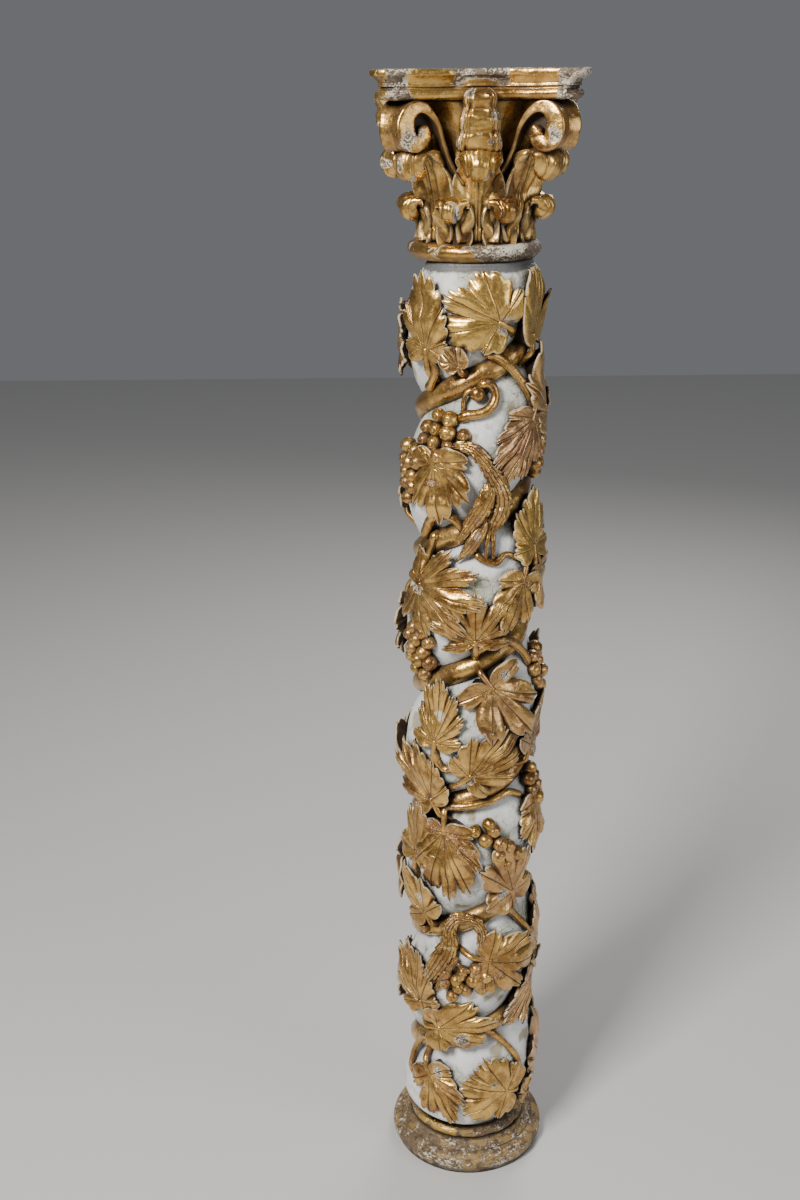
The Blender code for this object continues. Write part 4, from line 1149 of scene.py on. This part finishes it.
inset, level_share = np.array(ABACUS_PROFILE).T
side_place = np.linspace(-1.0, 1.0, SIDE_COLUMNS)
half = (ABACUS_WIDTH / 2 - inset)[:, None]
along = (half - ABACUS_CUT) * side_place
out = half - ABACUS_HOLLOW * (1 - side_place ** 2)
sides = []
for side in range(4):
    turn = math.pi / 2 * side
    sides.append(np.stack([along * math.cos(turn) + out * math.sin(turn),
                           along * math.sin(turn) - out * math.cos(turn)], -1))
abacus = np.concatenate(sides, axis=1)
level = (abacus_bottom + ABACUS_HEIGHT * level_share)[:, None, None]
abacus = np.concatenate([abacus, np.broadcast_to(level, (*abacus.shape[:2], 1))], -1)
abacus = np.concatenate([abacus[row:stop] * np.array([size, size, 1.0]) for row, stop, size in (
    (0, 1, 0.3), (0, 1, 0.75), (0, None, 1.0), (-1, None, 0.8), (-1, None, 0.4))])
across, depth, level = np.moveaxis(abacus.copy(), -1, 0)
share_up = (level - abacus_bottom) / ABACUS_HEIGHT
high = step_up(share_up, 0.60, 0.82)
outer = step_up(np.hypot(across, depth), 0.095, 0.102)
off_middle = np.minimum(np.abs(across), np.abs(depth)) + 0.007 * cloud(abacus, 0.012, 61)
scar = 1 - step_up(off_middle, SCAR_WIDTH - 0.003, SCAR_WIDTH + 0.002)
scar *= step_up(share_up, 0.35, 0.50) * outer
nibbled = step_up(cloud(abacus, 0.020, 62) + 0.5 * cloud(abacus, 0.007, 63), 0.35, 0.6) * outer
in_front = depth < -0.085
ragged = across + 0.007 * cloud(abacus, 0.010, 71) + 0.004 * cloud(abacus, 0.004, 72)
horn_block = in_front * np.exp(-((ragged + 0.096) / 0.015) ** 4)
broken_tip = np.exp(-((across - BROKEN_HORN[0]) ** 2 + (depth - BROKEN_HORN[1]) ** 2
                      + (0.5 * (level - BROKEN_HORN[2])) ** 2) / BREAK_SIZE ** 2)
nail_hole = in_front * np.exp(-((across - NAIL_HOLE[0]) ** 2 + (level - NAIL_HOLE[1]) ** 2)
                              / NAIL_SIZE ** 2)
bite = 0.0020 * nibbled * high + 0.0008 * (1 + cloud(abacus, 0.012, 65)) * outer
bite += scar * (0.0045 + 0.0040 * cloud(abacus, 0.009, 64))
bite += horn_block * (0.0012 + 0.0022 * cloud(abacus, 0.008, 69))
push_out(abacus, -(bite + 0.0045 * broken_tip + 0.010 * nail_hole))
abacus[..., 2] += 0.0007 * cloud(abacus, 0.030, 70) * (1 - high) * outer
lost_edge = step_up(cloud(abacus, 0.034, 68), 0.05, 0.35) * high
on_top = step_up(abacus[..., 2], CAPITAL_TOP - 0.0012, CAPITAL_TOP - 0.0002)
abacus_bare = np.maximum.reduce([
    0.9 * scar, 0.95 * horn_block, 0.9 * in_front * step_up(ragged, 0.080, 0.096), broken_tip,
    0.7 * lost_edge, on_top])
carved_on_capital("abacus", [gilded(
    abacus, tone=0.15 + 0.4 * cloud(abacus, 0.06, 67), bare=abacus_bare,
    wear=0.25 * cloud(abacus, 0.03, 66) + 0.1 * high,
    # The nail hole gets painted shade, and the top face some dust.
    shade_and_dust=np.clip(1.2 * nail_hole + 0.35 * on_top, 0.0, 1.0))])

# Leaf stalks and branches, carved with the leaves. A stalk comes out of the shaft behind its
# leaf's foot and runs into the leaf's heart. Branches leave the stem, cross the round and
# end at leaves and grapes; one near the top curls up to a knob.
STALK_RADIUS = 0.0050
BRANCH_RADIUS = 0.0060
BRANCH_DIP = 0.014
STALK_SIDES = 12
BRANCH_SIDES = 16
STALK_STEPS = 24
BRANCH_STEPS = 70
KNOB_GRID = (20, 14)
# thickness in branch radii, then points of angle and height in turns
BRANCHES = (
    (1.1, ((8, 6.03), (21, 5.99), (37, 5.90), (51, 5.76), (57, 5.58))),
    (1.15, ((-16, 5.59), (-9, 5.63), (1, 5.64), (11, 5.67), (17, 5.74), (15, 5.81), (8, 5.83),
            (2, 5.79))),
    (0.55, ((-3, 5.79), (-9, 5.77), (-12, 5.71), (-12, 5.63))),
    (1.1, ((-54, 4.76), (-49, 4.83), (-41, 4.92), (-28, 4.95), (-17, 4.91), (-9, 4.80))),
    (0.8, ((0, 4.70), (6, 4.66), (18, 4.63), (29, 4.68), (44, 4.61))),
    (1.2, ((0, 3.98), (5, 4.02), (19, 4.07), (34, 4.05), (53, 3.94), (70, 3.76))),
    (1.0, ((-30, 2.76), (-24, 2.79), (0, 2.82), (20, 2.85), (39, 2.88), (60, 2.78))),
    (1.0, ((24, 2.02), (29, 1.99), (41, 1.90), (59, 1.70), (72, 1.51), (74, 1.34))),
    (1.0, ((10, 0.95), (17, 0.91), (28, 0.83), (41, 0.68), (47, 0.53), (37, 0.38))),
    (1.0, ((-32, 0.76), (-40, 0.77), (-51, 0.76), (-64, 0.58), (-68, 0.31))),
    (1.1, ((-49, 5.78), (-45, 5.82), (-39, 5.91), (-43, 6.02))),
    (1.0, ((-40, 4.80), (-43, 4.74), (-49, 4.62), (-54, 4.43))),
    (1.0, ((-35, 3.30), (-31, 3.16), (-24, 3.11), (-11, 3.14), (-5, 3.08))),
)
KNOBS = ((1, 5.765, 1.6), (-50, 1.73, 1.7))


def shaft_place(degrees, turns):
    """Angle in radians and height in metres of a place given in degrees and turns."""
    return np.radians(degrees), SHAFT_BOTTOM + np.asarray(turns) * PITCH


def branch(thickness, points):
    """A branch as a closed skin: it follows the seat of the carving and dives at its ends."""
    degrees, turns = swept(points, BRANCH_STEPS).T
    angle, height = shaft_place(degrees, turns)
    gone = np.linspace(0.0, 1.0, BRANCH_STEPS)
    girth = BRANCH_RADIUS * thickness * (1 - 0.25 * gone)
    dive = step_up(gone, 0.0, 0.12) * (1 - step_up(gone, 0.88, 1.0))
    out = seat_radius(angle, height, BRANCH_DIP) + 0.65 * girth * dive - 0.006 * (1 - dive)
    path = around(angle, out, height)
    skin = bar(path, girth * (1 + 0.14 * cloud(path, 0.018, 71)), BRANCH_SIDES)
    return gilded(skin, tone=0.1 + 0.4 * cloud(skin, 0.05, 72),
                  wear=0.30 + 0.30 * cloud(skin, 0.018, 73))


def stalk(leaf):
    """A leaf's stalk as a closed skin, from inside the shaft to under the leaf's heart."""
    degrees, turns, way, length, _, tone, _, _ = leaf
    along = np.linspace(-0.42, 0.10, STALK_STEPS) * length * PITCH
    angle, height = on_shaft(degrees, turns, way, along, 0.0)
    rise = step_up(np.linspace(0.0, 1.0, STALK_STEPS), 0.0, 0.5)
    out = (ground_radius(angle, height) - 0.0045) * (1 - rise)
    out += (seat_radius(angle, height, LEAF_DIP) + 0.0065) * rise
    skin = bar(around(angle, out, height), STALK_RADIUS * (1.15 - 0.3 * rise), STALK_SIDES)
    return gilded(skin, tone=tone, wear=0.25 + 0.3 * cloud(skin, 0.02, 74))


def ball(centre, radius, columns, rows, dimple=0.0):
    """A round ball as a closed skin whose pole points away from the column. A dimple of
    that depth with a raised ring around it marks the pole."""
    pole = centre * np.array([1.0, 1.0, 0.0])
    pole /= np.linalg.norm(pole)
    aside = np.cross([0.0, 0.0, 1.0], pole)
    down = np.cross(pole, aside)
    fall = np.linspace(0.04, math.pi - 0.04, rows)[:, None, None]
    turn = full_turn(columns)[None, :, None]
    size = radius - dimple * np.exp(-(fall / 0.22) ** 2)
    size += 0.5 * dimple * np.exp(-((fall - 0.42) / 0.14) ** 2)
    return centre + size * (np.cos(fall) * pole + np.sin(fall) * (np.cos(turn) * aside
                                                                  + np.sin(turn) * down))


growth = [branch(thickness, points) for thickness, points in BRANCHES]
growth += [stalk(leaf) for leaf in (*UPPER_LEAVES, *LOWER_LEAVES, *back_leaves)]
for degrees, turns, size in KNOBS:
    knob_angle, knob_height = shaft_place(degrees, turns)
    knob_out = seat_radius(knob_angle, knob_height, BRANCH_DIP) + 0.5 * BRANCH_RADIUS
    knob = ball(around(knob_angle, knob_out, knob_height), BRANCH_RADIUS * size, *KNOB_GRID,
                0.0010)
    growth.append(gilded(knob, wear=0.35))
carved_on_shaft("branches_and_stalks", growth)

# Bunches of grapes, each grape a ball with a small ringed dimple, half sunk among the leaves.
# Their gilding is worn to bole and gesso on top.
GRAPE_RADIUS = 0.0104
GRAPE_GRID = (20, 15)
DIMPLE_DEPTH = 0.0018
FRUIT_DIP = 0.012
# angle, height in turns, the way the bunch hangs, and the number of grapes in each row
GRAPE_BUNCHES = (
    (-29, 5.60, -95, (2, 4, 4, 3)), (-66, 5.36, -90, (2, 3, 2, 2, 1)),
    (-53, 4.12, -95, (2, 3, 2, 3, 2)), (78, 3.86, -70, (2, 3, 3, 2, 1)),
    (9, 2.66, -52, (2, 2, 1, 2, 2)), (-2, 1.50, -80, (2, 3, 2)), (-15, 1.45, -95, (2, 2, 1)),
    (141, 5.02, -90, (2, 3, 2, 1)), (229, 3.98, -90, (2, 3, 2, 1)),
    (141, 1.82, -85, (2, 3, 2, 1)), (70, 5.42, -80, (1, 2, 2, 1)),
    (72, 2.98, -85, (1, 2, 2, 1)), (185, 5.98, -90, (2, 3, 2, 1)),
    (185, 2.98, -90, (2, 3, 2, 1)),
)


def grape_bunch(bunch, seed):
    """The grapes of a bunch as closed skins, in staggered rows that hang one way."""
    degrees, turns, way, counts = bunch
    chance = np.random.default_rng(seed)
    grapes = []
    for row, count in enumerate(counts):
        for place in range(count):
            off_middle = place - (count - 1) / 2
            size = GRAPE_RADIUS * chance.uniform(0.84, 1.08)
            along = (1.55 * row + chance.uniform(-0.2, 0.2)) * GRAPE_RADIUS
            across = (1.85 * off_middle + chance.uniform(-0.2, 0.2)) * GRAPE_RADIUS
            angle, height = on_shaft(degrees, turns, way, along, across)
            standing = 0.55 - 0.40 * abs(off_middle) / 1.5 + chance.uniform(-0.1, 0.15)
            out = seat_radius(angle, height, FRUIT_DIP) + size * standing
            grape = ball(around(angle, out, height), size, *GRAPE_GRID, DIMPLE_DEPTH)
            grape = grape + 0.0006 * cloud(grape, 0.006, 76)[..., None]
            fall = np.linspace(0.0, math.pi, len(grape))[:, None]
            grapes.append(gilded(grape, tone=chance.uniform(-0.3, 0.35),
                                 wear=0.25 + 0.35 * cloud(grape, 0.012, 75),
                                 # A dark ring of painted shade round each dimple, from the rib
                                 # mark.
                                 rib=np.abs(fall - 0.62) * size * 100, reach=0.8))
    return grapes


carved_on_shaft("grapes", list(itertools.chain.from_iterable(
    grape_bunch(bunch, 600 + index) for index, bunch in enumerate(GRAPE_BUNCHES))))

# Two birds peck at the grapes. Each has a long bent neck, a slim body with a folded wing, a
# tail and a leg, carved with rows of feathers and worn brown.
# rows of angle, height in turns, thickness in millimetres, and lift off the round
BIRD_BODIES = (
    ((-20, 5.42, 1.5, 4), (-17, 5.43, 4, 6), (-11, 5.44, 6.5, 8), (-2, 5.42, 8, 9),
     (5, 5.35, 9, 9), (12, 5.26, 10, 9), (18, 5.17, 12, 9), (22, 5.07, 14, 8), (21, 4.98, 14, 7),
     (18, 4.91, 11, 6), (16, 4.86, 6, 4)),
    ((8, 1.60, 1.5, 5), (8, 1.70, 5, 7), (9, 1.80, 8, 9), (4, 1.89, 8, 10), (-4, 1.92, 8, 10),
     (-13, 1.92, 9, 10), (-20, 1.82, 10, 9), (-20, 1.68, 13, 8), (-27, 1.53, 14, 7),
     (-36, 1.38, 10, 5), (-44, 1.25, 5, 3)),
)
BIRD_WINGS = (
    ((9, 5.20, 6, 12), (9, 5.13, 11, 15), (4, 5.02, 12, 15), (-3, 4.92, 10, 12),
     (-10, 4.83, 6, 9), (-17, 4.76, 2, 6)),
    ((-17, 1.76, 3, 12), (-23, 1.68, 9, 13), (-30, 1.55, 10, 12), (-37, 1.41, 8, 10),
     (-44, 1.28, 3, 6)),
    ((-12, 1.60, 3, 9), (-18, 1.52, 6, 10), (-25, 1.40, 6, 9), (-31, 1.28, 2, 6)),
)
BIRD_TAIL = ((10, 4.95, 2, 7), (6, 4.88, 8, 10), (0, 4.80, 9.5, 11), (-6, 4.73, 8, 9),
             (-12, 4.68, 4, 6), (-17, 4.64, 1.5, 4))
BIRD_LEGS = (
    ((13, 4.90, 3.5, 6), (11, 4.80, 3.5, 7), (10, 4.74, 3, 6), (9, 4.66, 2.5, 4)),
    ((16, 4.90, 3.5, 5), (16, 4.80, 3.5, 6), (16, 4.74, 3, 5), (16, 4.66, 2.5, 3)),
    ((-14, 1.56, 3.5, 6), (-8, 1.52, 3, 7), (-3, 1.50, 3, 7), (0, 1.46, 2.5, 4)),
)
FEATHER_ROWS = 12
FEATHER_LENGTH = 0.0150


def bird_part(points, steps, sides, squash, feathers):
    """A tapering part of a bird as a closed skin. Feathers are the depth of overlapping
    strokes: saw teeth along the part, shifted by half a stroke from row to row."""
    degrees, turns, thickness, lift = swept(points, steps).T
    angle, height = shaft_place(degrees, turns)
    path = around(angle, seat_radius(angle, height, FRUIT_DIP) + lift / 1000, height)
    skin = bar(path, np.maximum(thickness, 1.0) / 1000, sides, squash)
    gone = np.concatenate([[0.0], np.cumsum(np.linalg.norm(np.diff(path, axis=0), axis=1))])
    row = np.arange(sides)[None] / sides * FEATHER_ROWS
    stroke = gone[:, None] / FEATHER_LENGTH + 0.37 * np.floor(row) + 0.6 * cloud(skin, 0.015, 87)
    tooth = (stroke - np.floor(stroke)) * np.sin(math.pi * (row - np.floor(row))) ** 0.5
    swell = 1 + feathers * (tooth - 0.5) / np.maximum(thickness, 4.0)[:, None]
    skin = path[:, None] + (skin - path[:, None]) * swell[..., None]
    push_out(skin, 0.0011 * cloud(skin, 0.008, 83) + 0.0007 * cloud(skin, 0.004, 84))
    return gilded(skin, tone=-0.05 + 0.3 * cloud(skin, 0.03, 81),
                  wear=0.14 + 0.35 * cloud(skin, 0.016, 82),
                  bare=0.35 * step_up(cloud(skin, 0.016, 85), 0.25, 0.6),
                  # Dark lines of painted shade between the feather rows, from the rib mark.
                  rib=0.25 * np.abs(np.sin(math.pi * row)), reach=0.8)


# steps along a part, sides around it, how flat it is, and its feathers' depth in millimetres
carved_on_shaft("birds", [
    bird_part(points, steps, sides, squash, feathers)
    for parts, steps, sides, squash, feathers in (
        (BIRD_BODIES, 150, 48, 0.85, 3.6), (BIRD_WINGS, 90, 36, 0.45, 3.2),
        ((BIRD_TAIL,), 60, 24, 0.45, 0.6), (BIRD_LEGS, 30, 16, 1.0, 0.0))
    for points in parts])
